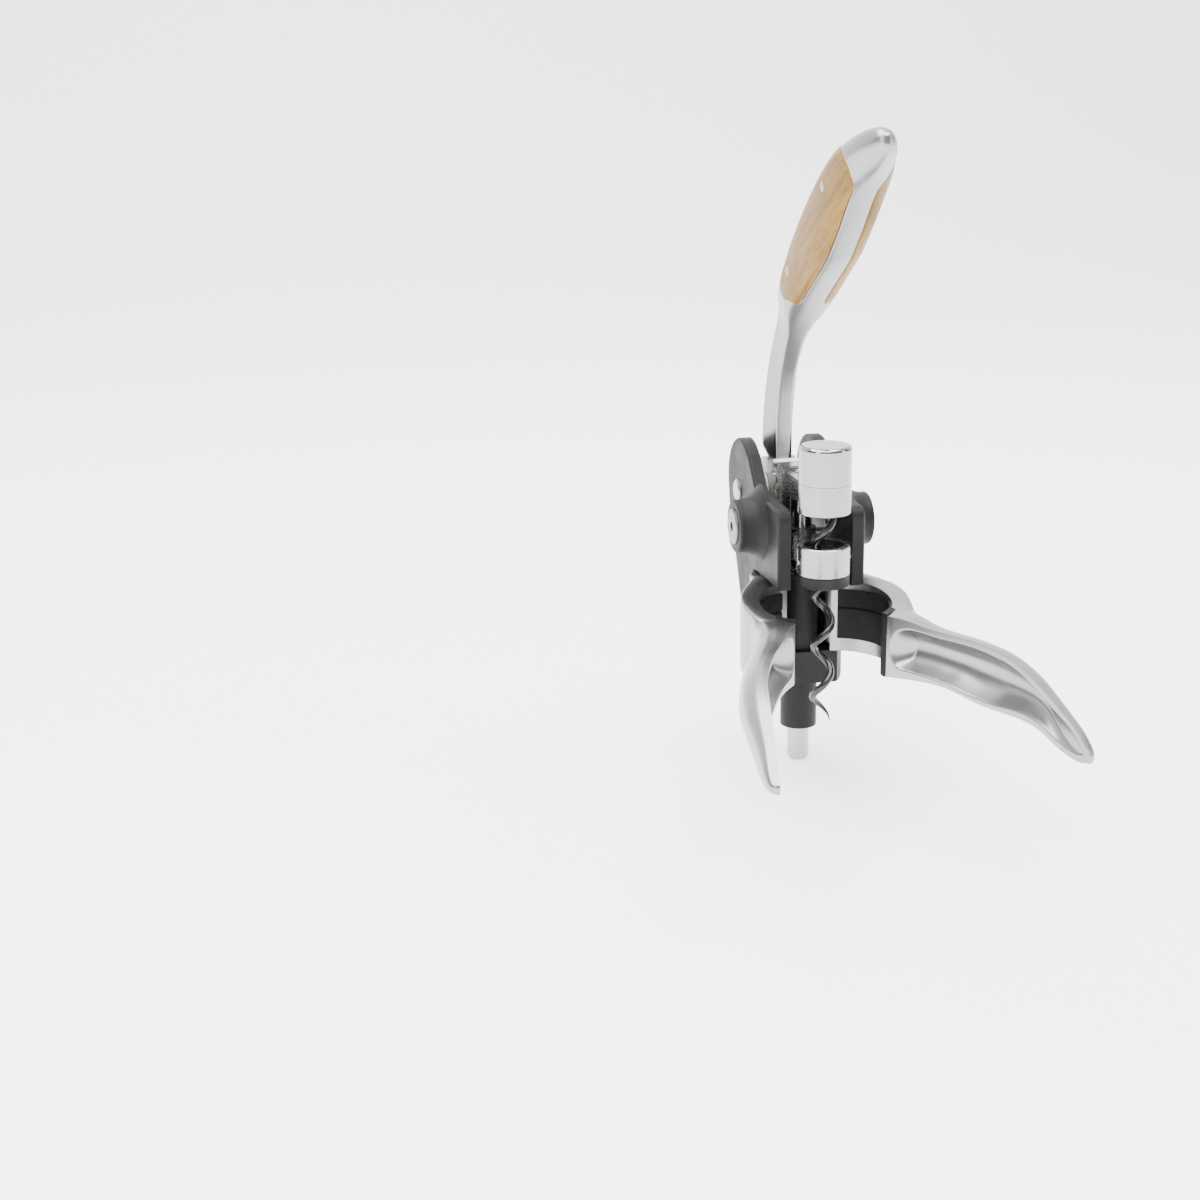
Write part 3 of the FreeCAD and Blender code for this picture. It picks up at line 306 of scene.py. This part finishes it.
materials = {
    "charcoal_coat": cast_finish(
        "charcoal_coat", (0.0105, 0.0100, 0.0098),
        metallic=0.0, rough=0.50, spread=0.06, grain=2600.0, mottle=90.0, strength=0.35,
        depth=0.00005, tint=0.12, specular=0.16),
    "pearl_chrome": cast_finish(
        "pearl_chrome", (0.29, 0.29, 0.295),
        metallic=1.0, rough=0.31, spread=0.03, grain=3800.0, mottle=60.0, strength=0.10,
        depth=0.00002),
    "satin_chrome": brushed_finish(
        "satin_chrome", (0.31, 0.31, 0.315),
        rough=0.26, spread=0.05, stretch=(1.0, 1.0, 14.0), size=260.0, strength=0.12,
        depth=0.00002),
    "bright_chrome": cast_finish(
        "bright_chrome", (0.30, 0.30, 0.305),
        metallic=1.0, rough=0.10, spread=0.02, grain=900.0, mottle=70.0, strength=0.02,
        depth=0.00001),
    "oiled_oak": oak_finish("oiled_oak"),
    "black_rubber": cast_finish(
        "black_rubber", (0.005, 0.005, 0.005),
        metallic=0.0, rough=0.55, spread=0.08, grain=1800.0, mottle=150.0, strength=0.3,
        depth=0.00004, tint=0.2, specular=0.15),
    "black_nylon": cast_finish(
        "black_nylon", (0.010, 0.010, 0.010),
        metallic=0.0, rough=0.42, spread=0.06, grain=2400.0, mottle=150.0, strength=0.25,
        depth=0.00003, tint=0.2, specular=0.2),
    "washer_nylon": cast_finish(
        "washer_nylon", (0.62, 0.60, 0.54),
        metallic=0.0, rough=0.45, spread=0.05, grain=2000.0, mottle=150.0, strength=0.1,
        depth=0.00002),
    "rivet_steel": brushed_finish(
        "rivet_steel", (0.34, 0.335, 0.33),
        rough=0.30, spread=0.06, stretch=(1.0, 1.0, 1.0), size=1500.0, strength=0.1,
        depth=0.00001),
    "plug_steel": brushed_finish(
        "plug_steel", (0.20, 0.195, 0.19),
        rough=0.36, spread=0.06, stretch=(1.0, 8.0, 1.0), size=700.0, strength=0.12,
        depth=0.00002),
    "spring_steel": brushed_finish(
        "spring_steel", (0.45, 0.45, 0.46),
        rough=0.30, spread=0.05, stretch=(1.0, 1.0, 1.0), size=1500.0, strength=0.1,
        depth=0.00001),
    "rod_steel": brushed_finish(
        "rod_steel", (0.40, 0.40, 0.405),
        rough=0.20, spread=0.05, stretch=(1.0, 1.0, 9.0), size=420.0, strength=0.10,
        depth=0.00001),
    "coated_wire": cast_finish(
        "coated_wire", (0.020, 0.020, 0.022),
        metallic=0.3, rough=0.18, spread=0.05, grain=1500.0, mottle=160.0, strength=0.06,
        depth=0.00001, specular=0.6),
    "bush_bronze": cast_finish(
        "bush_bronze", (0.50, 0.33, 0.15),
        metallic=1.0, rough=0.38, spread=0.05, grain=2000.0, mottle=200.0, strength=0.2,
        depth=0.00002),
}
for entry in frame["record"]["subparts"]:
    mesh = nodes[entry["node"]].data
    mesh.materials.clear()
    mesh.materials.append(materials[entry["material_slot"]])


# ------------------------------------------------------------------ surfaces
def smooth_through(keys, count):
    """Smooth rows through key rows: cubic Hermite spans whose slopes are those of the
    neighbouring keys, limited so that no span overshoots. keys: (n, k) array; count
    rows are evenly shared out over the spans."""
    keys = np.asarray(keys, float)
    n = len(keys)
    at = np.linspace(0.0, n - 1.0, count)
    span = np.clip(np.floor(at).astype(int), 0, n - 2)
    t = (at - span)[:, None]
    step = np.diff(keys, axis=0)
    before = np.vstack([step[:1], step])
    after = np.vstack([step, step[-1:]])
    same = before * after > 0.0
    slope = np.where(same, 2.0 * before * after / np.where(same, before + after, 1.0), 0.0)
    a, b = keys[span], keys[span + 1]
    da, db = slope[span], slope[span + 1]
    return (a * (2 * t ** 3 - 3 * t ** 2 + 1) + da * (t ** 3 - 2 * t ** 2 + t)
            + b * (3 * t ** 2 - 2 * t ** 3) + db * (t ** 3 - t ** 2))


def soften(values, reach):
    """Running mean over rows, twice, reach rows each way, with the ends held."""
    window = np.ones(2 * reach + 1) / (2 * reach + 1)
    for _ in range(2):
        held = np.concatenate([np.repeat(values[:1], reach), values, np.repeat(values[-1:], reach)])
        values = np.convolve(held, window, mode="valid")
    return values


def value_at(table, x, soft=0.0):
    """Smooth curve through the (x, value) points of a table, read at x; soft is the
    distance over which it is evened out."""
    table = np.asarray(table, float)
    dense = smooth_through(table, 40 * len(table))
    if not soft:
        return np.interp(x, dense[:, 0], dense[:, 1])
    even = np.linspace(dense[0, 0], dense[-1, 0], 1200)
    values = np.interp(even, dense[:, 0], dense[:, 1])
    reach = max(1, int(soft * 1200 / (even[-1] - even[0])))
    return np.interp(x, even, soften(values, reach))


def new_piece(name, points, faces, material, body):
    """Mesh object at the origin with smooth faces, riding on a CAD body. Its slot has
    its material's name."""
    mesh = bpy.data.meshes.new(name)
    mesh.from_pydata([tuple(p) for p in points.tolist()], [], faces)
    mesh.polygons.foreach_set("use_smooth", np.ones(len(faces), bool))
    mesh.update()
    mesh.materials.append(materials[material])
    piece = bpy.data.objects.new(name, mesh)
    bpy.context.scene.collection.objects.link(piece)
    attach(piece, body)
    return piece


def skin(rings, flip=False, caps=True):
    """Points and faces of a tube skinned over rings, an (n, m, 3) array of closed loops.
    Each end is closed by a fan to the middle of its loop."""
    n, m, _ = rings.shape
    i, j = np.meshgrid(np.arange(n - 1), np.arange(m), indexing="ij")
    a = i * m + j
    b = i * m + (j + 1) % m
    quads = np.stack([a, b, b + m, a + m], axis=-1).reshape(-1, 4)
    points = rings.reshape(-1, 3)
    faces = quads.tolist()
    if caps:
        ends = np.array([rings[0].mean(axis=0), rings[-1].mean(axis=0)])
        points = np.vstack([points, ends])
        k = np.arange(m)
        first = np.stack([(k + 1) % m, k, np.full(m, n * m)], axis=-1)
        last = np.stack([(n - 1) * m + k, (n - 1) * m + (k + 1) % m, np.full(m, n * m + 1)], axis=-1)
        faces += first.tolist() + last.tolist()
    if flip:
        faces = [f[::-1] for f in faces]
    return points, faces


def step_up(value, low, high):
    """Smooth step from 0 at low to 1 at high."""
    t = np.clip((value - low) / (high - low), 0.0, 1.0)
    return t * t * (3.0 - 2.0 * t)


# ------------------------------------------------------------------ grips
SIDES = {"left": 1.0, "right": -1.0}
HINGE = (-22.0, 11.0)            # hinge axis of the left grip, closed, in mm
OPEN_ANGLE = {"left": 20.6, "right": 19.2}
FACE_Y = 0.6                     # inner face of the closed handle
NECK_MIDDLE = (-2.24, -3.65)     # centre of the jaw's arc when the handles touch
JAW_IN_R = 14.95                 # radius of the jaw's inner wall, behind its lining
BARREL_R = 4.2                   # round barrel: radius, bottom and top, and its eased rims
BARREL_Z = (-24.5, -2.2)
BARREL_EASE = 0.3
BORE_R = 1.35
BORE_EASE = 0.2
PAD_MIDDLE_X = 12.55             # front strip of the lining: middle, half width, heights
PAD_MIDDLE_Z = -15.2
PAD_HALF = 1.15
PAD_HEIGHTS = ((-24.0,), (-23.4,), (-15.0,), (-7.2,), (-6.5,))
SHOULDER = 0.15                  # height the outer side keeps below the top land
SHARP_FROM = 35.0                # degrees between faces from which an edge is sharp

# top edge, bottom edge and dish border along the closed handle: X, Z
TOP_EDGE = ((-26.0, -2.3), (-15.0, -2.5), (-8.0, -3.2), (-2.0, -3.8), (3.0, -4.6), (8.0, -5.5),
            (12.7, -6.1), (15.0, -6.0), (18.0, -5.8), (21.5, -6.0), (25.0, -6.5), (28.5, -6.8),
            (33.5, -6.9), (38.5, -6.8), (45.0, -7.0), (50.0, -7.3), (54.0, -7.8), (58.0, -8.7),
            (62.0, -9.8), (66.0, -11.1), (70.0, -12.7), (74.0, -14.4), (78.0, -16.2), (82.0, -18.0),
            (85.0, -19.8), (87.0, -21.3), (88.5, -22.6), (90.0, -24.4))
LOW_EDGE = ((-26.0, -24.5), (8.0, -24.6), (12.0, -24.4), (15.4, -23.7), (18.8, -23.3), (22.1, -22.9),
            (26.0, -22.6), (29.5, -22.3), (32.5, -22.3), (36.0, -22.6), (39.5, -23.1), (43.0, -23.6),
            (46.5, -24.0), (50.0, -24.1), (54.0, -23.9), (58.0, -23.6), (62.0, -23.4), (66.0, -23.4),
            (70.0, -23.9), (74.0, -25.1), (78.0, -26.2), (82.0, -26.8), (85.0, -26.9), (87.5, -26.6),
            (89.0, -26.0), (90.0, -25.0))
DISH_TOP = ((15.0, -15.2), (15.3, -12.9), (16.2, -11.1), (17.4, -9.8), (19.8, -8.8), (22.2, -8.4),
            (25.0, -8.4), (28.3, -8.6), (32.0, -8.7), (36.0, -8.5), (41.8, -8.5), (46.0, -8.7),
            (50.0, -9.1), (54.0, -9.5), (58.0, -10.3), (62.0, -11.4), (66.0, -12.8), (70.0, -14.5),
            (74.0, -16.1), (78.0, -17.6), (82.0, -19.3), (85.2, -21.4), (87.0, -23.6))
DISH_LOW = ((15.0, -15.6), (15.3, -18.2), (16.4, -19.7), (18.7, -20.6), (22.0, -20.7), (28.0, -20.8),
            (32.2, -21.1), (36.0, -21.4), (39.0, -21.9), (43.0, -22.4), (46.5, -22.6), (50.0, -22.7),
            (54.0, -22.4), (58.0, -21.9), (62.0, -21.6), (66.0, -21.7), (70.0, -22.2), (74.0, -23.3),
            (78.0, -24.5), (82.0, -25.2), (85.2, -25.3), (87.0, -24.2))


def jaw_arc(radius, degrees):
    """Plan points on a circle about the middle of the bottle's neck."""
    a = np.radians(np.asarray(degrees, float))
    return np.stack([NECK_MIDDLE[0] + radius * np.cos(a), NECK_MIDDLE[1] + radius * np.sin(a)], axis=-1)


def grip_stations():
    """Rows along the closed left grip from its hinge to its tip: inner plan point, outer
    plan point, width of the flat top land in mm, and how square the outer side is there,
    1 for the jaw's wall and 0 for the handle."""
    lip = math.degrees(math.asin((FACE_Y - NECK_MIDDLE[1]) / JAW_IN_R))
    arc_in = jaw_arc(JAW_IN_R, [150, 138, 126, 114, 102, 90, 78, 66, 55, 45, 36, 28, 21.5, lip])
    rest = np.array([
        # inner X, Y, outer X, Y, land
        (13.2, 0.6, 14.8, 11.5, 7.2), (15.0, 0.7, 16.6, 11.3, 6.4), (17.0, 1.1, 18.4, 11.3, 5.5),
        (19.5, 1.7, 20.6, 11.5, 4.7), (23.0, 2.5, 23.8, 11.9, 3.9), (28.0, 3.4, 28.5, 12.5, 3.1),
        (34.0, 4.4, 34.3, 13.2, 2.5), (40.0, 5.2, 40.2, 13.7, 2.2), (46.0, 5.8, 46.0, 13.9, 2.2),
        (52.0, 6.1, 52.0, 13.7, 2.1), (58.0, 5.9, 58.0, 13.2, 2.0), (64.0, 5.2, 64.0, 12.1, 2.0),
        (70.0, 4.4, 70.0, 10.4, 2.0), (75.0, 3.7, 75.0, 8.8, 1.9), (80.0, 3.0, 80.2, 7.4, 1.8),
        (84.0, 2.4, 84.3, 6.2, 1.7), (87.0, 1.9, 87.4, 5.0, 1.6), (89.0, 1.5, 89.4, 3.8, 1.2),
        (89.8, 1.3, 90.0, 2.7, 0.8)])
    outer = [(-20.2, 14.8), (-17.0, 15.3), (-13.6, 15.6), (-10.2, 16.0), (-6.6, 16.6),
             (-2.8, 16.9), (1.2, 16.6), (4.4, 15.8), (7.0, 14.7), (9.0, 13.6),
             (10.6, 12.8), (11.8, 12.3), (12.8, 12.0), (13.7, 11.8)]
    land = [4.6, 4.6, 4.6, 4.7, 4.8, 4.9, 4.9, 4.9, 5.2, 5.9, 6.7, 7.4, 7.8, 7.7]
    inner = np.vstack([arc_in, rest[:, 0:2]])
    outer = np.vstack([outer, rest[:, 2:4]])
    land = np.concatenate([land, rest[:, 4]])
    square = np.interp(np.arange(len(inner)), [0, 7, 18, 33], [1.0, 1.0, 0.0, 0.0])
    return np.column_stack([inner, outer, land, square])


def grip_rings():
    """Closed loops round the grip. Each loop goes up the inner face, across a flat land,
    down the outer side as part of a superellipse and back across the bottom land. The
    inner face sinks into the dish by a flat-bottomed bowl: depth times one minus a power
    of the distance from the dish's middle line."""
    rows = smooth_through(grip_stations(), 460)
    rows[:, 2:5] = np.stack([soften(column, 7) for column in rows[:, 2:5].T], axis=-1)
    inner, outer, land, square = rows[:, 0:2], rows[:, 2:4], rows[:, 4:5], rows[:, 5:6]
    x_in = inner[:, 0]
    top = value_at(TOP_EDGE, x_in, 2.0)[:, None]
    low = value_at(LOW_EDGE, x_in, 2.0)[:, None]
    far_top = top + 1.1 * square
    thick = np.hypot(*(outer - inner).T)[:, None]
    land = np.minimum(land, thick - 0.4)

    up = np.linspace(0.0, 1.0, 61)
    up = (0.5 - 0.5 * np.cos(np.pi * up))[None, :]
    z_face = low + (top - low) * (0.014 + 0.972 * up)
    dish_top = value_at(DISH_TOP, x_in, 0.9)[:, None]
    dish_low = value_at(DISH_LOW, x_in, 0.9)[:, None]
    half = np.maximum((dish_top - dish_low) / 2, 0.05)
    off = np.clip(np.abs(z_face - (dish_top + dish_low) / 2) / half, 0.0, 1.0)
    along = step_up(x_in, 14.6, 19.0) * (1.0 - step_up(x_in, 66.0, 87.4) * 0.7)
    along = (along * (x_in < 87.0) * (x_in > 15.0))[:, None]
    bowl = np.clip(thick - 2.2, 0.3, 5.4) * along * (1.0 - off ** 2.6) ** 1.1

    across = np.array([0.012, 0.03, 0.3, 0.6, 0.9])[None, :]
    n_top = land * across
    z_top = top + (far_top - top) * across
    t = np.linspace(0.0, np.pi, 60)[1:-1][None, :]
    power = 2.0 / (2.0 + 4.0 * square)
    n_back = land * 0.97 + (thick - land * 0.97) * np.sin(t) ** power
    lift = np.sign(np.cos(t)) * np.abs(np.cos(t)) ** (2.0 / (2.3 + 3.5 * square))
    mid = (far_top + low) / 2
    rise = (far_top - mid - SHOULDER) * np.maximum(lift, 0.0)
    drop = (mid - low - SHOULDER) * np.minimum(lift, 0.0)
    z_back = mid + rise + drop
    n_low = (land * across)[:, ::-1]
    z_low = np.repeat(low, 5, axis=1)

    n = np.concatenate([bowl, n_top, n_back, n_low], axis=1)
    z = np.concatenate([z_face, z_top, z_back, z_low], axis=1)
    plan = inner[:, None, :] + ((outer - inner) / thick)[:, None, :] * n[:, :, None]
    return np.concatenate([plan, z[:, :, None]], axis=2)


def swing_out(points, side):
    """Closed left grip, in mm, to its rest place on either side, in metres."""
    sign = SIDES[side]
    a = math.radians(OPEN_ANGLE[side])
    x = points[..., 0] - HINGE[0]
    y = points[..., 1] - HINGE[1]
    turned = np.stack([HINGE[0] + x * math.cos(a) - y * math.sin(a),
                       sign * (HINGE[1] + x * math.sin(a) + y * math.cos(a)), points[..., 2]], axis=-1)
    return turned * MM


def make_grip(side):
    """Jaw and handle in one smooth casting."""
    rings = swing_out(grip_rings(), side)
    points, faces = skin(rings, flip=side == "left")
    piece = new_piece(side + "_grip_casting", points, faces, "pearl_chrome", side + "_grip")
    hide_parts(side + "_grip")


def make_barrel(side):
    """Round barrel the grip turns on: a turned profile with eased rims, bored for its pin."""
    low, high = BARREL_Z
    rim = [(BORE_R, low + BARREL_EASE), (BORE_R + BORE_EASE, low),
           (BARREL_R - BARREL_EASE, low), (BARREL_R, low + BARREL_EASE),
           (BARREL_R, high - BARREL_EASE), (BARREL_R - BARREL_EASE, high),
           (BORE_R + BORE_EASE, high), (BORE_R, high - BARREL_EASE)]
    profile = np.array(rim)
    around = np.linspace(0.0, 2 * np.pi, 64, endpoint=False)[:, None]
    ring = np.stack([HINGE[0] + profile[:, 0] * np.cos(around), HINGE[1] + profile[:, 0] * np.sin(around),
                     profile[:, 1] + 0.0 * around], axis=-1)
    ring = np.concatenate([ring, ring[:1]])
    points, faces = skin(swing_out(ring, side), flip=side == "left", caps=False)
    piece = new_piece(side + "_grip_barrel", points, faces, "pearl_chrome", side + "_grip")
    piece.data.set_sharp_from_angle(angle=math.radians(SHARP_FROM))
    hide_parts(side + "_grip")


def make_pad_edge(side):
    """Front end of the rubber lining: a thin strip just proud of the jaw's front face."""
    z = smooth_through(PAD_HEIGHTS, 40)[:, 0]
    half = PAD_HALF - 0.25 * (np.abs(z - PAD_MIDDLE_Z) > 8.6)
    y_low, y_high = FACE_Y - 0.10, FACE_Y + 1.2
    y_ease = y_low + 0.08
    section = ((-1.0, y_high), (-1.0, y_ease), (-0.9, y_low), (0.9, y_low), (1.0, y_ease), (1.0, y_high))
    ring = np.stack([np.stack([PAD_MIDDLE_X + share * half, np.full_like(z, y), z], axis=-1)
                     for share, y in section], axis=1)
    points, faces = skin(swing_out(ring, side), flip=side == "right")
    new_piece(side + "_pad_edge", points, faces, "black_rubber", side + "_grip")


for side in SIDES:
    make_grip(side)
    make_barrel(side)
    make_pad_edge(side)


# ------------------------------------------------------------------ lever
PIVOT = (-43.6, 18.7)            # lever pivot: X and Z in mm
RAISED = 45.0                    # degrees the lever stands above its stop
UPPER = ((7.0, 12.0), (12.0, 16.7), (21.0, 22.0), (32.3, 27.1), (43.5, 29.6), (52.0, 31.2),
         (60.1, 32.5), (69.5, 33.2), (78.4, 33.7), (87.2, 33.4), (96.0, 32.4), (104.9, 30.8),
         (113.7, 28.6), (119.6, 27.0), (123.7, 25.4), (129.6, 22.4), (133.7, 19.6), (136.2, 16.8),
         (137.2, 14.4))
LOWER = ((7.0, 2.0), (14.0, 8.5), (21.0, 14.2), (26.7, 17.8), (32.3, 20.1), (37.9, 21.5),
         (43.5, 22.3), (49.2, 22.4), (58.6, 21.4), (66.6, 19.8), (75.4, 17.8), (84.2, 15.7),
         (90.1, 14.7), (101.9, 14.3), (110.7, 14.6), (116.6, 14.2), (122.5, 12.9), (128.4, 11.4),
         (133.1, 10.8), (135.6, 11.6), (137.2, 13.6))
# along the lever: X, half width, share by which the lower side is narrower, corner
# powers of the upper and lower halves
FORM = ((7.0, 4.9, 0.50, 9.0, 9.0), (20.0, 4.9, 0.50, 9.0, 9.0), (34.0, 4.7, 0.46, 8.0, 9.0),
        (44.0, 4.8, 0.38, 7.0, 8.0), (50.0, 5.6, 0.24, 5.0, 6.0), (56.0, 7.0, 0.08, 3.6, 4.0),
        (62.0, 7.7, 0.0, 3.0, 3.2), (72.0, 8.1, 0.0, 2.9, 3.0), (90.0, 8.2, 0.0, 2.9, 3.0),
        (106.0, 8.1, 0.0, 2.9, 3.0), (115.0, 7.9, 0.0, 2.8, 2.8), (119.0, 7.6, 0.0, 2.7, 2.4),
        (124.0, 6.8, 0.0, 2.6, 1.75), (129.0, 5.5, 0.0, 2.5, 1.6), (133.0, 3.9, 0.0, 2.4, 1.6),
        (136.0, 2.2, 0.0, 2.2, 1.7), (137.1, 0.9, 0.0, 2.0, 1.8))
STRIP_HALF = 3.2                 # half width of the metal between the two scales
WOOD_START = ((0.0, 61.6), (0.3, 62.4), (0.6, 61.8), (0.85, 59.5), (1.0, 57.0))     # share up the side, X
WOOD_END = ((0.0, 118.6), (0.12, 121.6), (0.3, 124.2), (0.5, 124.3), (0.8, 122.6), (1.0, 119.6))
GEAR_HALF = 4.6                  # half the gear's width; its radii and edges follow
ROOT_R = 9.7
PITCH_R = 11.55
TOOTH_R = 12.9
GEAR_EASE = 0.15
TEETH_ROUND = 14                 # teeth a full circle would hold
TEETH = range(-8, 3)             # those that are cut, counted up from the lever


def lever_form(x, turn):
    """Section of the lever at x: half a superellipse between the lower and the upper
    edge. turn runs from -90 degrees at the lower edge to 90 at the upper one. Gives the
    distance from the middle plane and the height."""
    rows = np.asarray(FORM, float)
    half, narrow, n_up, n_low = (value_at(rows[:, [0, k]], x) for k in range(1, 5))
    top, low = value_at(UPPER, x), value_at(LOWER, x)
    c, s = np.cos(turn), np.sin(turn)
    power = 2.0 / np.where(s > 0, n_up, n_low)
    z = np.sign(s) * np.abs(s) ** power
    y = half * np.maximum(c, 0.0) ** power
    y = y * (1.0 - narrow * (1.0 - z) / 2)
    return y, (top + low) / 2 + (top - low) / 2 * z


def raise_lever(x, y, z):
    """Lever points, drawn lowered about its pivot in mm, to their rest place in metres."""
    a = math.radians(RAISED)
    return np.stack([PIVOT[0] + x * math.cos(a) - z * math.sin(a), y + 0.0 * x,
                     PIVOT[1] + x * math.sin(a) + z * math.cos(a)], axis=-1) * MM


def make_lever_metal():
    """Arm, tang and rounded end cap as one skin; between the scales it shrinks to the
    tang, and below the cap its two sides meet in a soft keel."""
    nose = 134.0 + 3.1 * np.sin(np.linspace(0.05, np.pi / 2, 24))
    x = np.concatenate([np.linspace(7.0, 62.0, 90), np.linspace(62.6, 118.4, 110),
                        np.linspace(119.0, 134.0, 70), nose])[:, None]
    turn = np.radians(np.concatenate([np.linspace(-90, 90, 49), np.linspace(90, -90, 49)[1:-1]]))[None, :]
    side = np.concatenate([np.ones(49), -np.ones(47)])[None, :]
    y, z = lever_form(x + 0.0 * turn, turn + 0.0 * x)
    between = step_up(x, 62.0, 64.5) * (1.0 - step_up(x, 116.0, 118.6))
    y = np.minimum(y, y * (1 - between) + STRIP_HALF * between)
    points, faces = skin(raise_lever(x + 0.0 * y, side * y, z))
    piece = new_piece("lever_casting", points, faces, "pearl_chrome", "lever")
    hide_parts("lever")


def make_scale(side):
    """Wooden scale laid on the tang: the lever's outer form, closed by an inner side,
    with its edges eased inwards."""
    sign = SIDES[side]
    u = np.linspace(0.0, 1.0, 130)[:, None]
    share = np.linspace(0.0, 1.0, 60)[None, :]
    start, end = value_at(WOOD_START, share), value_at(WOOD_END, share)
    x = start + (end - start) * u
    rows = np.asarray(FORM, float)
    half, n_up, n_low = (value_at(rows[:, [0, k]], x) for k in (1, 3, 4))
    seat = (STRIP_HALF + 0.12) / half
    first = -np.arccos(seat ** (n_low / 2))
    last = np.arccos(seat ** (n_up / 2))
    y, z = lever_form(x, first + (last - first) * share)
    mid = (value_at(UPPER, x) + value_at(LOWER, x)) / 2
    ease_v = np.minimum(share, 1.0 - share) * 30.0
    ease_u = np.minimum(u, 1.0 - u) * 110.0
    ease = 0.10 - 0.35 * (1.0 - np.clip(np.minimum(ease_u, ease_v), 0.0, 1.0)) ** 2
    grow = 1.0 + ease / half
    y_out = np.maximum(y * grow, STRIP_HALF + 0.1)
    z_out = mid + (z - mid) * grow
    y_in = np.maximum(y - 2.0, STRIP_HALF + 0.05)
    z_in = mid + (z - mid) * 0.90
    ring = raise_lever(np.concatenate([x, x[:, ::-1]], axis=1),
                       sign * np.concatenate([y_out, y_in[:, ::-1]], axis=1),
                       np.concatenate([z_out, z_in[:, ::-1]], axis=1))
    points, faces = skin(ring, flip=side == "right")
    piece = new_piece(side + "_wood_scale", points, faces, "oiled_oak", "lever")
    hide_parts(side + "_handle_scale")


def make_gear():
    """Hub with eleven teeth: a star outline about the pivot, drawn across its width."""
    step = 2 * math.pi / TEETH_ROUND
    flank = ((0.19, ROOT_R), (0.165, ROOT_R + GEAR_EASE), (0.115, PITCH_R - 0.3),
             (0.060, TOOTH_R - GEAR_EASE), (0.048, TOOTH_R))
    outline = []
    for k in TEETH:
        middle = k * step - math.radians(RAISED)
        outline += [(middle - turn, radius) for turn, radius in flank]
        outline += [(middle + turn, radius) for turn, radius in reversed(flank)]
    gap = np.linspace(outline[-1][0], outline[0][0] + 2 * math.pi, 26)[1:-1]
    outline = np.array(outline + [(a, ROOT_R) for a in gap])
    across = np.array([-GEAR_HALF, -GEAR_HALF + GEAR_EASE, GEAR_HALF - GEAR_EASE, GEAR_HALF])[:, None]
    radius = outline[:, 1][None, :] - GEAR_EASE * (np.abs(across) > GEAR_HALF - 0.1)
    angle = outline[:, 0][None, :]
    ring = raise_lever(radius * np.cos(angle), across + 0.0 * angle, radius * np.sin(angle))
    points, faces = skin(ring)
    piece = new_piece("lever_gear", points, faces, "pearl_chrome", "lever")
    piece.data.set_sharp_from_angle(angle=math.radians(SHARP_FROM))
    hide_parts("lever")


make_lever_metal()
make_gear()
for side in SIDES:
    make_scale(side)


# ------------------------------------------------------------------ stage and light
FLOOR_HALF = 6.0           # half the floor's width, and its reach to the front
BACKDROP_X = -0.9          # where the paper starts to rise
BEND = 0.8                 # radius of the paper's bend


def stage_floor():
    """Pale paper under the tool, curving up into a backdrop behind it: a level run, a
    quarter circle and a straight rise."""
    z = cad_box[0][2] - 0.0005
    bend = np.linspace(0.0, math.pi / 2, 24)
    x = np.concatenate([[FLOOR_HALF], BACKDROP_X - BEND * np.sin(bend), [BACKDROP_X - BEND]])
    up = np.concatenate([[0.0], BEND * (1.0 - np.cos(bend)), [FLOOR_HALF]])
    n = len(x)
    run = list(zip(x.tolist(), up.tolist()))
    points = [(px, side * FLOOR_HALF, z + pz) for side in (-1.0, 1.0) for px, pz in run]
    faces = [(i, i + 1, n + i + 1, n + i) for i in range(n - 1)]
    mesh = bpy.data.meshes.new("floor")
    mesh.from_pydata(points, [], faces)
    mesh.polygons.foreach_set("use_smooth", np.ones(len(faces), bool))
    floor = bpy.data.objects.new("floor", mesh)
    bpy.context.scene.collection.objects.link(floor)
    material, tree, shader = start_material("floor_paper", (0.90, 0.90, 0.90), 0.0, 0.9)
    shader.inputs["Specular IOR Level"].default_value = 0.1
    shader.inputs["Emission Color"].default_value = (1.0, 1.0, 1.0, 1.0)
    shader.inputs["Emission Strength"].default_value = 1.1
    mesh.materials.append(material)


def area_light(name, spot, target, size, power, tall=None):
    """Soft box at a spot, facing a target."""
    data = bpy.data.lights.new(name, "AREA")
    data.shape = "RECTANGLE"
    data.size = size
    data.size_y = tall or size
    data.energy = power
    lamp = bpy.data.objects.new(name, data)
    facing = (Vector(target) - Vector(spot)).to_track_quat("-Z", "Y").to_matrix().to_4x4()
    lamp.matrix_world = Matrix.Translation(spot) @ facing
    bpy.context.scene.collection.objects.link(lamp)


def light_room():
    """Even white surround with soft boxes above, left and right."""
    world = bpy.data.worlds.new("surround")
    world.use_nodes = True
    world.node_tree.nodes["Background"].inputs["Color"].default_value = (1.0, 1.0, 1.0, 1.0)
    world.node_tree.nodes["Background"].inputs["Strength"].default_value = 0.6
    bpy.context.scene.world = world
    area_light("top_box", (0.1, -0.1, 1.1), (0.0, 0.0, 0.0), 1.5, 75.0)
    area_light("left_box", (0.62, -0.75, 0.28), (0.0, 0.0, 0.02), 0.30, 5.0, 0.9)
    area_light("right_box", (0.35, 0.95, 0.25), (0.0, 0.0, 0.02), 0.22, 4.0, 0.9)


place_camera()
stage_floor()
light_room()
